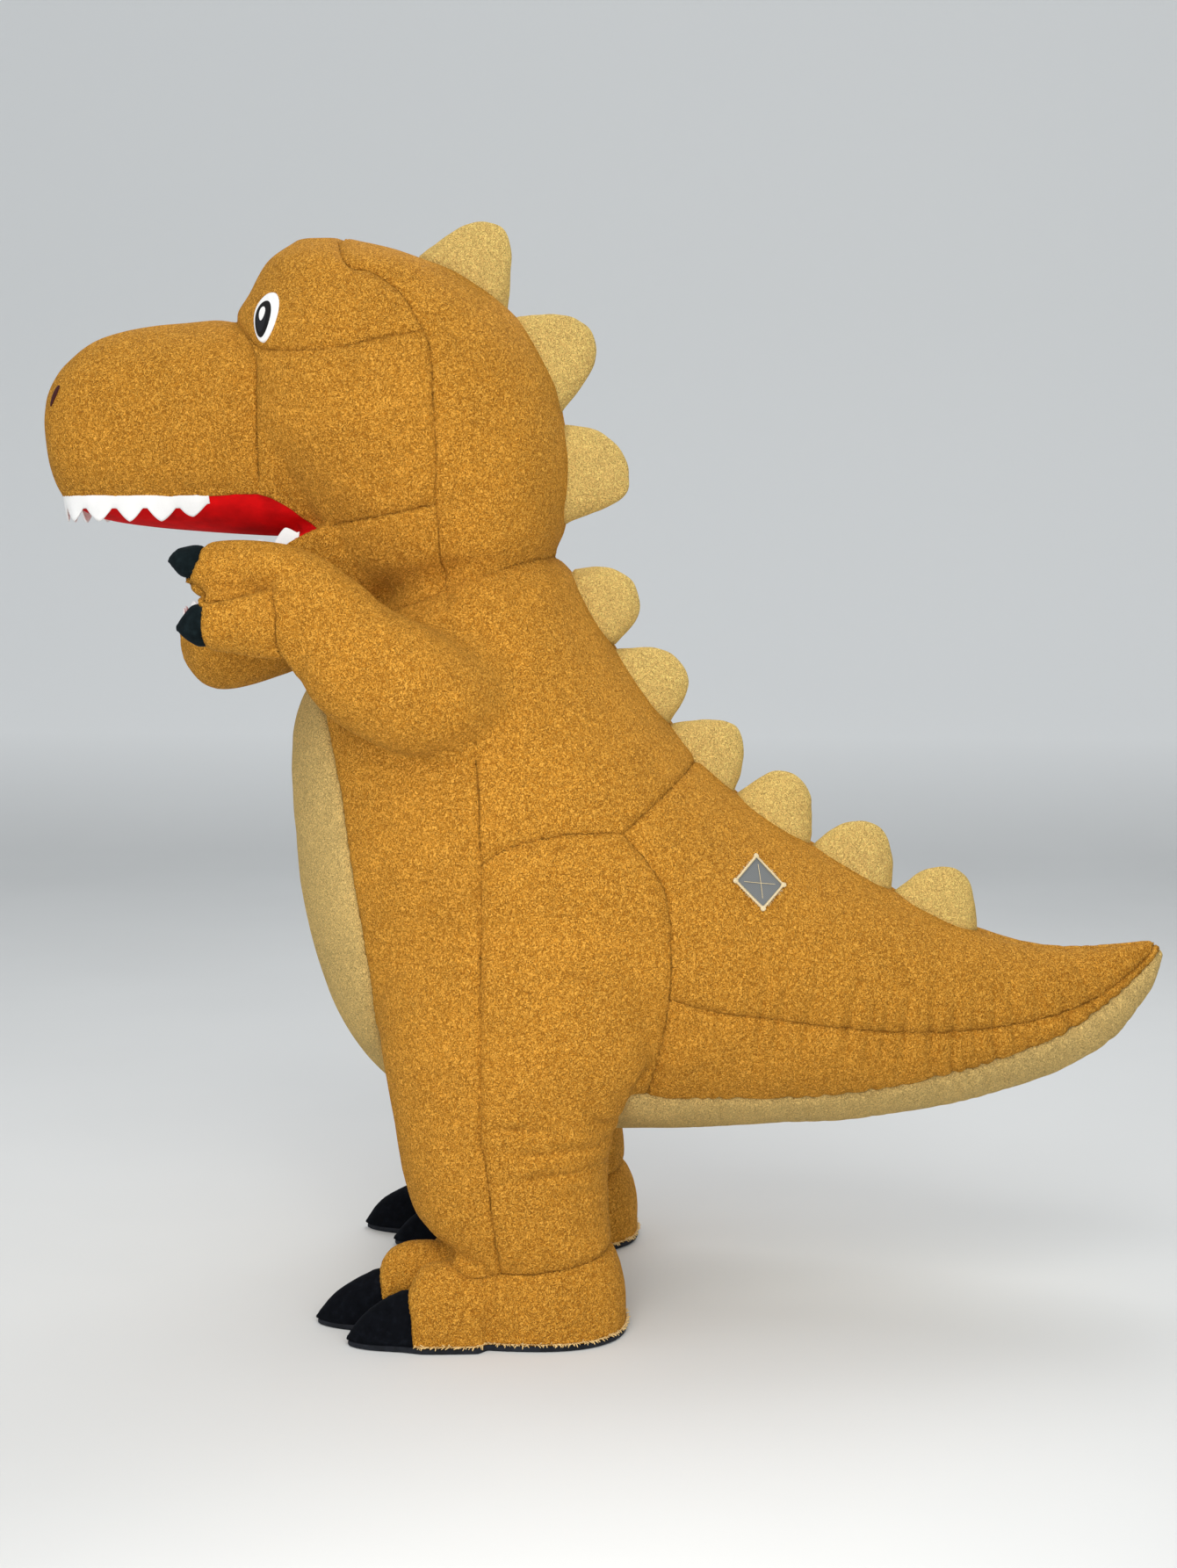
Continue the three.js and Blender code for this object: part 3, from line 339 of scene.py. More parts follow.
def body_forms():
    """Every closed form that the inflated body is joined from, by name."""
    forms = {
        "trunk": ring_skin(TRUNK_ENDS[0], oval_rings(TRUNK, 6, 96), TRUNK_ENDS[1]),
        "skull": ring_skin(SKULL_ENDS[0], oval_rings(SKULL, 6, 80), SKULL_ENDS[1]),
        "snout": ring_skin(SNOUT_ENDS[0], snout_rings(6), SNOUT_ENDS[1]),
        "jaw": ring_skin(JAW_ENDS[0], jaw_rings(6), JAW_ENDS[1]),
        "leg": ring_skin(LEG_ENDS[0], oval_rings(LEG, 6, 64), LEG_ENDS[1]),
        "foot": ring_skin(FOOT_ENDS[0], oval_rings(FOOT, 6, 64), FOOT_ENDS[1]),
        "arm": ring_skin(ARM_ENDS[0], oval_rings(ARM, 6, 56), ARM_ENDS[1]),
        "finger": ring_skin(FINGER_ENDS[0], oval_rings(FINGER, 6, 48), FINGER_ENDS[1]),
    }
    for toe in TOES:
        rings, tip, back = toe_rings(toe)
        forms["toe_" + toe] = ring_skin(tip, rings, back)
    return forms


def with_mirror(skins):
    """The same skins with their mirror images across the middle plane."""
    both = []
    for points, faces in skins:
        both.append((points, faces))
        both.append((points * (-1, 1, 1), [tuple(reversed(f)) for f in faces]))
    return both


def mesh_of(name, skins, scale=0.001):
    """One mesh from several skins given in millimetres."""
    points, faces, start = [], [], 0
    for p, f in skins:
        points.append(np.asarray(p) * scale)
        faces += [tuple(int(i) + start for i in face) for face in f]
        start += len(p)
    mesh = bpy.data.meshes.new(name)
    mesh.from_pydata(np.vstack(points).tolist(), [], faces)
    mesh.update()
    return mesh


def facing_out(mesh):
    """Recalculates the faces of closed forms so that they point outwards."""
    bm = bmesh.new()
    bm.from_mesh(mesh)
    bmesh.ops.remove_doubles(bm, verts=bm.verts, dist=1e-6)
    bmesh.ops.recalc_face_normals(bm, faces=bm.faces)
    bm.to_mesh(mesh)
    bm.free()


def tree_of(skins):
    """Ray and distance tree of closed forms."""
    mesh = mesh_of("probe", skins)
    facing_out(mesh)
    points = [v.co.copy() for v in mesh.vertices]
    tree = BVHTree.FromPolygons(points, [tuple(p.vertices) for p in mesh.polygons])
    bpy.data.meshes.remove(mesh)
    return tree


def distances(tree, points, limit=0.2):
    """Distance of every point to a form, at most limit, less than zero inside it."""
    out = np.full(len(points), limit)
    for i, p in enumerate(points):
        near, normal, _, far = tree.find_nearest(Vector(p), limit)
        if near is not None:
            out[i] = far if (Vector(p) - near).dot(normal) >= 0 else -far
    return out


# Side view geometry: outlines, distances, seams

def seam_line(name, per=6):
    points = SEAM[name.lstrip("-")]
    line = spline(points, per) / 1000
    return line[::-1] if name.startswith("-") else line


def outline(name):
    """Closed outline of a panel in the side view, in metres."""
    parts = []
    for part in OUTLINES[name]:
        parts.append(seam_line(part) if isinstance(part, str) else np.asarray(part, float) / 1000)
    line = np.vstack(parts)
    keep = np.linalg.norm(line - np.roll(line, 1, 0), axis=1) > 1e-6
    return line[keep]


def inside_distance(loop, yz):
    """Distance of side-view points to a closed outline, more than zero inside."""
    a, b = loop, np.roll(loop, -1, 0)
    best = np.full(len(yz), 9.0)
    crossings = np.zeros(len(yz), int)
    for p, q in zip(a, b):
        d = q - p
        t = np.clip(((yz - p) @ d) / max(d @ d, 1e-12), 0, 1)
        best = np.minimum(best, np.linalg.norm(yz - p - t[:, None] * d, axis=1))
        if p[1] != q[1]:
            spans = (yz[:, 1] < p[1]) != (yz[:, 1] < q[1])
            cross = p[0] + (yz[:, 1] - p[1]) * (q[0] - p[0]) / (q[1] - p[1])
            crossings += spans & (yz[:, 0] < cross)
    return np.where(crossings % 2 == 1, best, -best)


def along(line, yz):
    """Distance of side-view points to an open line, and how far along it the nearest point is."""
    far = np.full(len(yz), 9.0)
    run = np.zeros(len(yz))
    start = 0.0
    for p, q in zip(line[:-1], line[1:]):
        d = q - p
        size = np.linalg.norm(d)
        t = np.clip(((yz - p) @ d) / max(d @ d, 1e-12), 0, 1)
        gap = np.linalg.norm(yz - p - t[:, None] * d, axis=1)
        near = gap < far
        far[near] = gap[near]
        run[near] = start + t[near] * size
        start += size
    return far, run


def soft_noise(points, scale, seed):
    """Smooth noise from -1 to 1 with features of about one over scale metres."""
    shift = Vector((seed * 7.31, seed * 3.77, seed * 5.13))
    return np.array([noise.noise(Vector(p) * scale + shift) for p in points])


# Mesh arrays

def arrays(mesh):
    """Vertices and triangles of a mesh."""
    co = np.empty(len(mesh.vertices) * 3)
    mesh.vertices.foreach_get("co", co)
    mesh.calc_loop_triangles()
    tri = np.empty(len(mesh.loop_triangles) * 3, int)
    mesh.loop_triangles.foreach_get("vertices", tri)
    return co.reshape(-1, 3), tri.reshape(-1, 3)


def face_vectors(co, tri):
    return np.cross(co[tri[:, 1]] - co[tri[:, 0]], co[tri[:, 2]] - co[tri[:, 0]])


def area_of(co, tri):
    return float(np.linalg.norm(face_vectors(co, tri), axis=1).sum() / 2)


def corner_sum(values, tri, count):
    """Adds a value of each triangle to its three corners."""
    out = np.zeros((count,) + values.shape[1:])
    for k in range(3):
        np.add.at(out, tri[:, k], values)
    return out


def normals(co, tri):
    n = corner_sum(face_vectors(co, tri), tri, len(co))
    return n / np.maximum(np.linalg.norm(n, axis=1, keepdims=True), 1e-12)


def edges_of(tri):
    e = np.sort(np.vstack([tri[:, [0, 1]], tri[:, [1, 2]], tri[:, [2, 0]]]), 1)
    return np.unique(e, axis=0)


def smoothed(values, edges, rounds, keep_size=True):
    """Averages values along edges; keep_size undoes the shrinking of each round."""
    count = np.bincount(edges.ravel(), minlength=len(values)).astype(float)
    count = np.maximum(count, 1)
    if values.ndim > 1:
        count = count[:, None]
    for _ in range(rounds):
        for factor in (0.5, -0.52) if keep_size else (0.5,):
            total = np.zeros_like(values)
            np.add.at(total, edges[:, 0], values[edges[:, 1]])
            np.add.at(total, edges[:, 1], values[edges[:, 0]])
            values = values + factor * (total / count - values)
    return values


def surface_slope(field, co, tri):
    """How fast a field changes per metre of surface, at each vertex."""
    a, b, c = co[tri[:, 0]], co[tri[:, 1]], co[tri[:, 2]]
    n = np.cross(b - a, c - a)
    double = np.maximum(np.linalg.norm(n, axis=1, keepdims=True), 1e-12)
    n = n / double
    fa, fb, fc = (field[tri[:, k], None] for k in range(3))
    slope = (fa * np.cross(n, c - b) + fb * np.cross(n, a - c) + fc * np.cross(n, b - a)) / double
    size = np.linalg.norm(slope, axis=1)
    weight = corner_sum(np.ones(len(tri)), tri, len(co))
    return corner_sum(size, tri, len(co)) / np.maximum(weight, 1)


def clipped(co, tri, field, extra=None):
    """The part of a triangle mesh where field is above zero, cut exactly along zero."""
    up = field[tri] > 0
    number = up.sum(1)
    whole = tri[number == 3]
    new_points, new_extra, ids = [], [], {}

    def cut(i, j):
        key = (i, j) if i < j else (j, i)
        if key not in ids:
            t = field[i] / (field[i] - field[j])
            new_points.append(co[i] + (co[j] - co[i]) * t)
            if extra is not None:
                new_extra.append(extra[i] + (extra[j] - extra[i]) * t)
            ids[key] = len(co) + len(new_points) - 1
        return ids[key]

    added = []
    for face, u in zip(tri[(number > 0) & (number < 3)].tolist(), up[(number > 0) & (number < 3)]):
        one = u.sum() == 1
        k = int(np.argmax(u)) if one else int(np.argmin(u))
        a, b, c = face[k], face[(k + 1) % 3], face[(k + 2) % 3]
        ab, ac = cut(a, b), cut(a, c)
        added += [(a, ab, ac)] if one else [(ab, b, c), (ab, c, ac)]
    faces = np.vstack([whole, np.array(added, int).reshape(-1, 3)])
    points = np.vstack([co] + ([np.array(new_points)] if new_points else []))
    used, index = np.unique(faces, return_inverse=True)
    faces = index.reshape(-1, 3)
    if extra is not None:
        extra = np.concatenate([extra] + ([np.array(new_extra)] if new_extra else []))[used]
    return points[used], faces, extra


def largest_part(co, tri):
    """Drops crumbs: keeps the connected parts with more than one percent of the area."""
    parent = np.arange(len(co))
    edges = edges_of(tri)
    for _ in range(400):
        low = np.minimum(parent[edges[:, 0]], parent[edges[:, 1]])
        before = parent.copy()
        np.minimum.at(parent, edges[:, 0], low)
        np.minimum.at(parent, edges[:, 1], low)
        parent = parent[parent]
        if (parent == before).all():
            break
    area = np.linalg.norm(face_vectors(co, tri), axis=1)
    owner = parent[tri[:, 0]]
    total = np.bincount(owner, area, minlength=len(co))
    keep = total[owner] > 0.01 * area.sum()
    tri = tri[keep]
    used, index = np.unique(tri, return_inverse=True)
    return co[used], index.reshape(-1, 3), used


def new_object(name, co, faces, material, smooth=True):
    """New mesh object at the origin, with its material."""
    mesh = bpy.data.meshes.new(name)
    mesh.from_pydata(np.asarray(co).tolist(), [], [tuple(map(int, f)) for f in faces])
    mesh.update()
    if smooth:
        mesh.shade_smooth()
    obj = bpy.data.objects.new(name, mesh)
    bpy.context.scene.collection.objects.link(obj)
    mesh.materials.append(material)
    return obj


def finish_piece(obj, slot, *nodes):
    """The piece rides on the costume and stands for its solids; its slot is not used."""
    obj.data.transform(Matrix.Translation((0, -MIDDLE, 0)))
    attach(obj, "root")
    if nodes:
        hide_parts(*nodes)
    return obj


def wall(obj, thickness):
    """Gives a cloth skin its thickness, inwards."""
    mod = obj.modifiers.new("Thickness", "SOLIDIFY")
    mod.thickness = thickness
    mod.offset = -1
    mod.use_rim = True
    mod.use_even_offset = False
    return mod


def mark_seam(obj, distance):
    """Stores how close each point is to the panel's edge: 1 on the seam, 0 from 20 mm on. The plush paints
    shade along this mark, which also carries deep creases.
    """
    layer = obj.data.attributes.new("seam", "FLOAT", "POINT")
    layer.data.foreach_set("value", np.clip(1 - distance / 0.02, 0, 1.2).astype(np.float32))


def baked(obj):
    """Turns an object's modifiers into plain mesh."""
    graph = bpy.context.evaluated_depsgraph_get()
    mesh = bpy.data.meshes.new_from_object(obj.evaluated_get(graph))
    old = obj.data
    obj.modifiers.clear()
    obj.data = mesh
    bpy.data.meshes.remove(old)
    return obj


# Materials

class Nodes:
    """Small helper for building a material's node tree."""

    def __init__(self, name):
        self.material = bpy.data.materials.new(name)
        self.material.use_nodes = True
        self.tree = self.material.node_tree
        self.tree.nodes.clear()
        self.out = self.add("ShaderNodeOutputMaterial")
        self.shader = self.add("ShaderNodeBsdfPrincipled")
        self.join(self.shader, "BSDF", self.out, "Surface")
        self.place = self.add("ShaderNodeTexCoord")

    def add(self, kind, **values):
        node = self.tree.nodes.new(kind)
        for key, value in values.items():
            if key in node.bl_rna.properties:
                setattr(node, key, value)
            else:
                node.inputs[key.replace("_", " ")].default_value = value
        return node

    def join(self, a, out, b, into):
        self.tree.links.new(a.outputs[out], b.inputs[into])

    def turned(self, degrees):
        """Places on the object, turned about X."""
        mapping = self.add("ShaderNodeMapping")
        mapping.inputs["Rotation"].default_value = (math.radians(degrees), 0, 0)
        self.join(self.place, "Object", mapping, "Vector")
        return mapping

    def noise(self, scale, detail=2.0, rough=0.5):
        node = self.add("ShaderNodeTexNoise", Scale=scale, Detail=detail, Roughness=rough)
        self.join(self.place, "Object", node, "Vector")
        return node

    def ramp(self, source, out, stops):
        node = self.add("ShaderNodeValToRGB")
        band = node.color_ramp
        while len(band.elements) < len(stops):
            band.elements.new(0.5)
        for element, (at, colour) in zip(band.elements, stops):
            element.position = at
            element.color = (*colour, 1.0)
        self.join(source, out, node, "Fac")
        return node

    def mix(self, a, b, factor, kind="MIX"):
        """Mixes two colour outputs; factor is a number or a (node, output)."""
        node = self.add("ShaderNodeMix", data_type="RGBA", blend_type=kind)
        for part, index in ((a, 6), (b, 7)):
            if isinstance(part, tuple) and isinstance(part[0], bpy.types.Node):
                self.tree.links.new(part[0].outputs[part[1]], node.inputs[index])
            else:
                node.inputs[index].default_value = (*part, 1.0)
        if isinstance(factor, tuple):
            self.tree.links.new(factor[0].outputs[factor[1]], node.inputs[0])
        else:
            node.inputs[0].default_value = factor
        return node

    def colour(self, node, out=2):
        self.tree.links.new(node.outputs[out], self.shader.inputs["Base Color"])

    def bump(self, source, out, strength, distance, under=None):
        node = self.add("ShaderNodeBump", Strength=strength, Distance=distance)
        self.join(source, out, node, "Height")
        if under is not None:
            self.join(under, "Normal", node, "Normal")
        return node

    def finish(self, bump=None, **sockets):
        for key, value in sockets.items():
            self.shader.inputs[key.replace("_", " ")].default_value = value
        if bump is not None:
            self.join(bump, "Normal", self.shader, "Normal")
        return self.material


def shade(colour, factor):
    return tuple(min(1.0, c * factor) for c in colour)


def grey(value):
    """A grey of one value."""
    return (value, value, value)


def plush(name, base, light, dark, curl, sheen):
    """Short curly pile: light tips over a dark ground, with worn and brushed patches, and painted shade
    along seams and deep creases.
    """
    n = Nodes(name)
    curls = n.noise(curl, 2.0, 0.55)
    curls.inputs["Distortion"].default_value = 1.6
    ground = n.ramp(curls, "Fac", [(0.405, dark), (0.50, base), (0.59, light)])
    brushed = n.noise(9.0, 4.0, 0.62)
    patch = n.ramp(brushed, "Fac", [(0.34, shade(base, 0.80)), (0.62, shade(base, 1.14))])
    mixed = n.mix((ground, 0), (patch, 0), 0.28)
    specks = n.noise(curl * 2.3, 2.0, 0.6)
    spark = n.ramp(specks, "Fac", [(0.38, (0.42, 0.39, 0.35)), (0.58, grey(1.0))])
    pile = n.mix((mixed, 2), (spark, 0), 0.66, "MULTIPLY")
    # Painted shade: a dark line along seams, deep creases and deep tail valleys, broken in places by noise.
    seam = n.add("ShaderNodeAttribute", attribute_name="seam")
    line = n.ramp(seam, "Fac", [(0.87, grey(0.0)), (0.97, grey(0.54))])
    shade_line_gaps = n.ramp(n.noise(11.0), "Fac", [(0.36, grey(0.35)), (0.60, grey(1.0))])
    painted_shade_lines = n.mix((line, 0), (shade_line_gaps, 0), 1.0, "MULTIPLY")
    # Mixes the painted shade line, in a darkened root colour, into the pile colour.
    n.colour(n.mix((pile, 2), shade(dark, 0.55), (painted_shade_lines, 2)))
    dip = n.ramp(seam, "Fac", [(0.70, grey(1.0)), (1.0, grey(0.0))])
    groove = n.bump(dip, "Color", 0.6, 0.0045)
    high = n.bump(curls, "Fac", 1.0, 0.0066, groove)
    fine = n.bump(specks, "Fac", 0.6, 0.0024, high)
    return n.finish(fine, Roughness=0.93, Sheen_Weight=sheen, Sheen_Roughness=0.45,
                    Sheen_Tint=(*shade(light, 1.3), 1.0), Specular_IOR_Level=0.12)


def velvet(name, base, glow):
    n = Nodes(name)
    nap = n.noise(60.0, 4.0, 0.6)
    tone = n.ramp(nap, "Fac", [(0.30, shade(base, 0.6)), (0.55, base), (0.80, shade(base, 2.2))])
    n.colour(tone, 0)
    fine = n.noise(900.0, 1.0, 0.5)
    return n.finish(n.bump(fine, "Fac", 0.35, 0.0008), Roughness=0.9, Sheen_Weight=0.05,
                    Sheen_Roughness=0.4, Sheen_Tint=(*glow, 1.0), Specular_IOR_Level=0.04)


def felt(name, base):
    n = Nodes(name)
    fibres = n.noise(420.0, 4.0, 0.7)
    fibres.inputs["Distortion"].default_value = 2.0
    soft = n.noise(30.0, 3.0, 0.5)
    tone = n.ramp(fibres, "Fac", [(0.25, shade(base, 0.86)), (0.60, base)])
    dust = n.ramp(soft, "Fac", [(0.30, shade(base, 0.90)), (0.60, base)])
    n.colour(n.mix((tone, 0), (dust, 0), 0.5))
    return n.finish(n.bump(fibres, "Fac", 0.5, 0.0012), Roughness=0.95, Sheen_Weight=0.3,
                    Sheen_Roughness=0.5, Specular_IOR_Level=0.15)


def smooth_cloth(name, base):
    """Smooth knitted lining cloth."""
    n = Nodes(name)
    wide = n.noise(14.0, 3.0, 0.6)
    tone = n.ramp(wide, "Fac", [(0.28, shade(base, 0.62)), (0.70, shade(base, 1.15))])
    n.colour(tone, 0)
    weave = n.noise(700.0, 2.0, 0.5)
    soft = n.bump(wide, "Fac", 0.35, 0.010)
    return n.finish(n.bump(weave, "Fac", 0.4, 0.0008, soft), Roughness=0.85, Specular_IOR_Level=0.08)


def thread(name, base, spacing=500.0):
    n = Nodes(name)
    strands = n.noise(spacing, 2.0, 0.6)
    tone = n.ramp(strands, "Fac", [(0.30, shade(base, 0.55)), (0.65, shade(base, 1.15))])
    n.colour(tone, 0)
    return n.finish(n.bump(strands, "Fac", 0.6, 0.0010), Roughness=0.7, Sheen_Weight=0.03,
                    Sheen_Roughness=0.4, Specular_IOR_Level=0.18)


def woven(name, base):
    """Plain woven patch cloth with crossed threads."""
    n = Nodes(name)
    turn = n.turned(45)
    warp, weft = (n.add("ShaderNodeTexWave", bands_direction=way, Scale=130.0, Distortion=1.0)
                  for way in "YZ")
    for wave in (warp, weft):
        n.join(turn, "Vector", wave, "Vector")
    crossed = n.mix((warp, 0), (weft, 0), 0.5)
    tone = n.ramp(crossed, 2, [(0.25, shade(base, 0.75)), (0.75, shade(base, 1.15))])
    n.colour(tone, 0)
    return n.finish(n.bump(crossed, 2, 0.4, 0.0010), Roughness=0.55, Specular_IOR_Level=0.4)


def sole_sheet(name, base):
    n = Nodes(name)
    grain = n.noise(260.0, 4.0, 0.6)
    scuff = n.noise(18.0, 5.0, 0.65)
    tone = n.ramp(scuff, "Fac", [(0.42, shade(base, 1.6)), (0.75, shade(base, 6.0))])
    n.colour(tone, 0)
    return n.finish(n.bump(grain, "Fac", 0.35, 0.0010), Roughness=0.75, Specular_IOR_Level=0.22)


def floor_cloth(name, base):
    n = Nodes(name)
    wide = n.noise(0.9, 4.0, 0.5)
    tone = n.ramp(wide, "Fac", [(0.30, shade(base, 0.965)), (0.70, base)])
    parts = n.add("ShaderNodeSeparateXYZ")
    n.join(n.place, "Object", parts, "Vector")
    upright = n.ramp(parts, "Z", [(0.02, grey(0.0)), (0.5, grey(1.0))])
    n.colour(n.mix((tone, 0), shade(base, 1.30), (upright, 0)))
    return n.finish(Roughness=0.8, Specular_IOR_Level=0.2)


def material(key):
    """One material per finish, made when it is first asked for."""
    if key in made:
        return made[key]
    c = bpy.context.scene.costume_colours
    looks = {
        "brown": (plush, "Brown plush", tuple(c.brown), tuple(c.brown_tip), tuple(c.brown_root),
                  205.0, 0.16),
        "cream": (plush, "Cream plush", tuple(c.cream), shade(c.cream, 1.25), shade(c.cream, 0.60),
                  215.0, 0.12),
        "spine": (plush, "Pale cream plush", tuple(c.spine), shade(c.spine, 1.22),
                  shade(c.spine, 0.64), 215.0, 0.16),
        "red": (smooth_cloth, "Red lining cloth", tuple(c.red)),
        "white": (felt, "White felt", tuple(c.white)),
        "black": (velvet, "Black velvet", tuple(c.black), (0.30, 0.34, 0.42)),
        "slate": (velvet, "Slate velvet", tuple(c.slate), (0.32, 0.42, 0.55)),
        "sole": (sole_sheet, "Black sole sheet", tuple(c.black)),
        "grey": (woven, "Grey patch cloth", tuple(c.grey)),
        "maroon": (thread, "Maroon thread", tuple(c.maroon)),
        "ring": (thread, "Black thread", (0.004, 0.004, 0.005)),
        "pupil": (thread, "Dark grey thread", (0.011, 0.012, 0.016)),
        "trim": (thread, "Cream overlock thread", (0.74, 0.60, 0.36), 800.0),
        "golden": (thread, "Golden overlock thread", (0.90, 0.62, 0.27), 800.0),
    }
    make, *how = looks[key]
    made[key] = make(*how)
    return made[key]


# The body: one inflated skin, sewn from panels

# Finish of the panels that are not brown.
FINISHES = {"belly": "cream", "tail_underside": "cream", "palate": "red", "jaw_lining": "red"}

# A form that isn't near a point counts as this many metres away.
FAR = 0.2
# Legs are looked for below LEG_SEARCH_TOP, and their panels end below LEG_PANEL_TOP, in metres.
LEG_SEARCH_TOP = 0.75
LEG_PANEL_TOP = 0.66
# Arms are looked for in this room: least distance from the middle, last y, lowest and highest z.
ARM_ROOM = (0.2, -0.1, 1.05, 1.65)
# Toes across a foot: inner and outer distance from the middle, in metres.
TOE_SPANS = {"outer": (0.362, 0.60), "middle": (0.252, 0.362), "inner": (0.0, 0.252)}
# How far a claw reaches back from the toe's tip at each height, and where it ends, in metres.
CLAW_HEIGHTS = [0, 0.060, 0.116, 0.130]
CLAW_REACH = [0.139, 0.132, 0.118, 0.112]
CLAW_MORE = {"outer": 0.0, "middle": 0.010, "inner": 0.0}
CLAW_TOP = 0.132

# Creases pressed into the cloth, as side-view points: depth and half width in mm, then y and z.
CREASES = [
    (7, 13, [(-72, 762), (-40, 742), (-8, 716)]),
    (8, 11, [(-190, 404), (-130, 392), (-60, 398), (10, 392), (50, 404)]),
    (7, 11, [(-186, 330), (-120, 346), (-50, 350), (30, 340)]),
    (5, 11, [(-60, 312), (-10, 300), (28, 290)]),
    (10, 10, [(-200, 436), (-150, 446), (-80, 434)]),
    (10, 9, [(-40, 760), (-16, 738), (0, 706)]),
    (10, 10, [(120, 560), (100, 520), (70, 486)]),
    (10, 10, [(-20, 470), (20, 440), (52, 430)]),
    (5, 12, [(-560, 1560), (-566, 1520), (-586, 1478)]),
    (6, 20, [(-258, 1404), (-200, 1372), (-160, 1330), (-150, 1280)]),
    (4, 18, [(-420, 1500), (-330, 1492), (-250, 1512), (-160, 1530)]),
    (5, 24, [(-310, 1100), (-240, 1060), (-160, 1040)]),
    (4, 22, [(-150, 1150), (-60, 1110), (20, 1100)]),
    (4, 26, [(-380, 760), (-300, 720), (-230, 700)]),
    (5, 22, [(-330, 560), (-270, 520), (-225, 510)]),
    (4, 20, [(-700, 1900), (-690, 1800), (-700, 1710)]),
    (4, 24, [(-1000, 1760), (-920, 1730), (-820, 1720), (-740, 1730)]),
    (4, 22, [(-300, 1760), (-240, 1740), (-160, 1745)]),
    (4, 20, [(-480, 1700), (-430, 1660), (-350, 1650)]),
]

# Creases of the arms alone, in the same way.
ARM_CREASES = [
    (10, 10, [(-728, 1450), (-690, 1462), (-632, 1479), (-580, 1496), (-520, 1508)]),
    (4, 12, [(-520, 1508), (-470, 1496), (-430, 1470)]),
    (5, 14, [(-560, 1300), (-520, 1330), (-480, 1345)]),
    (4, 16, [(-330, 1180), (-300, 1230), (-290, 1290)]),
]

# From this depth in mm on, a crease also gets a painted shade line.
PAINTED_SHADE_CREASE = 7

# Where the pile hides the seams: y, z and reach in mm.
QUIET = [(-268, 1400, 85)]

# Long soft seams that sit deeper: depth and half width in metres.
DEEP_SEAMS = (("neck_back", 0.012, 0.034), ("neck_throat", 0.015, 0.038),
              ("tail_root_low", 0.008, 0.030), ("ankle_back", 0.003, 0.024),
              ("ankle_front", 0.004, 0.024), ("tail_side", 0.002, 0.024))

# Gathers higher than this many mm are narrow valleys, the others a soft wave.
VALLEY_HEIGHT = 5
# Gathers across a seam: seam, wave length, height, reach in mm, and the stretch they run on.
GATHERS = [
    ("tail_side", 47, 7.5, 85, 0.12, 0.80),
    ("tail_cream", 43, 7.0, 60, 0.10, 0.78),
    ("tail_root_low", 70, 2.2, 50, 0.0, 1.0),
    ("neck_back", 85, 2.6, 60, 0.0, 1.0),
    ("neck_throat", 80, 2.6, 55, 0.0, 1.0),
    ("jaw_seam", 80, 2.0, 45, 0.0, 1.0),
    ("brow", 75, 1.8, 40, 0.0, 1.0),
    ("belly", 95, 1.8, 60, 0.0, 1.0),
    ("side", 110, 1.6, 60, 0.0, 1.0),
    ("side_low", 110, 1.8, 60, 0.0, 1.0),
    ("ankle_front", 60, 2.0, 40, 0.0, 1.0),
    ("ankle_back", 64, 2.2, 40, 0.0, 1.0),
    ("leg_side", 80, 2.0, 45, 0.0, 1.0),
    ("thigh_top", 90, 1.6, 50, 0.0, 1.0),
    ("tail_root", 95, 1.8, 50, 0.0, 1.0),
    ("head_mid", 110, 1.4, 45, 0.0, 1.0),
    ("lip", 55, 1.0, 26, 0.0, 1.0),
]


def joined_skin(voxel):
    """All body forms joined into one closed skin of even small faces."""
    forms = body_forms()
    middle = ("trunk", "skull", "snout", "jaw")
    single = [forms[k] for k in middle]
    double = with_mirror([v for k, v in forms.items() if k not in middle])
    made["trees"] = {
        "trunk": tree_of([forms["trunk"]]),
        "leg": tree_of(with_mirror([v for k, v in forms.items() if k[:3] in ("leg", "foo", "toe")])),
        "arm": tree_of(with_mirror([forms["arm"], forms["finger"]])),
        "body": tree_of(single + with_mirror([forms["leg"]])),
    }
    mesh = mesh_of("skin", single + double)
    obj = bpy.data.objects.new("skin", mesh)
    bpy.context.scene.collection.objects.link(obj)
    bm = bmesh.new()
    bm.from_mesh(mesh)
    bmesh.ops.recalc_face_normals(bm, faces=bm.faces)
    bm.to_mesh(mesh)
    bm.free()
    mod = obj.modifiers.new("Join", "REMESH")
    mod.mode = "VOXEL"
    mod.voxel_size = voxel
    baked(obj)
    co, tri = arrays(obj.data)
    mesh = obj.data
    bpy.data.objects.remove(obj)
    bpy.data.meshes.remove(mesh)
    co, tri, _ = largest_part(co, tri)
    edges = edges_of(tri)
    co = smoothed(co, edges, 12)
    return co, tri, edges


def border_field(part, own, other, co):
    """How much nearer the points of a part of the skin are to one form than to another."""
    field = np.full(len(co), -FAR)
    field[part] = (np.abs(distances(made["trees"][other], co[part]))
                   - np.abs(distances(made["trees"][own], co[part])))
    return field


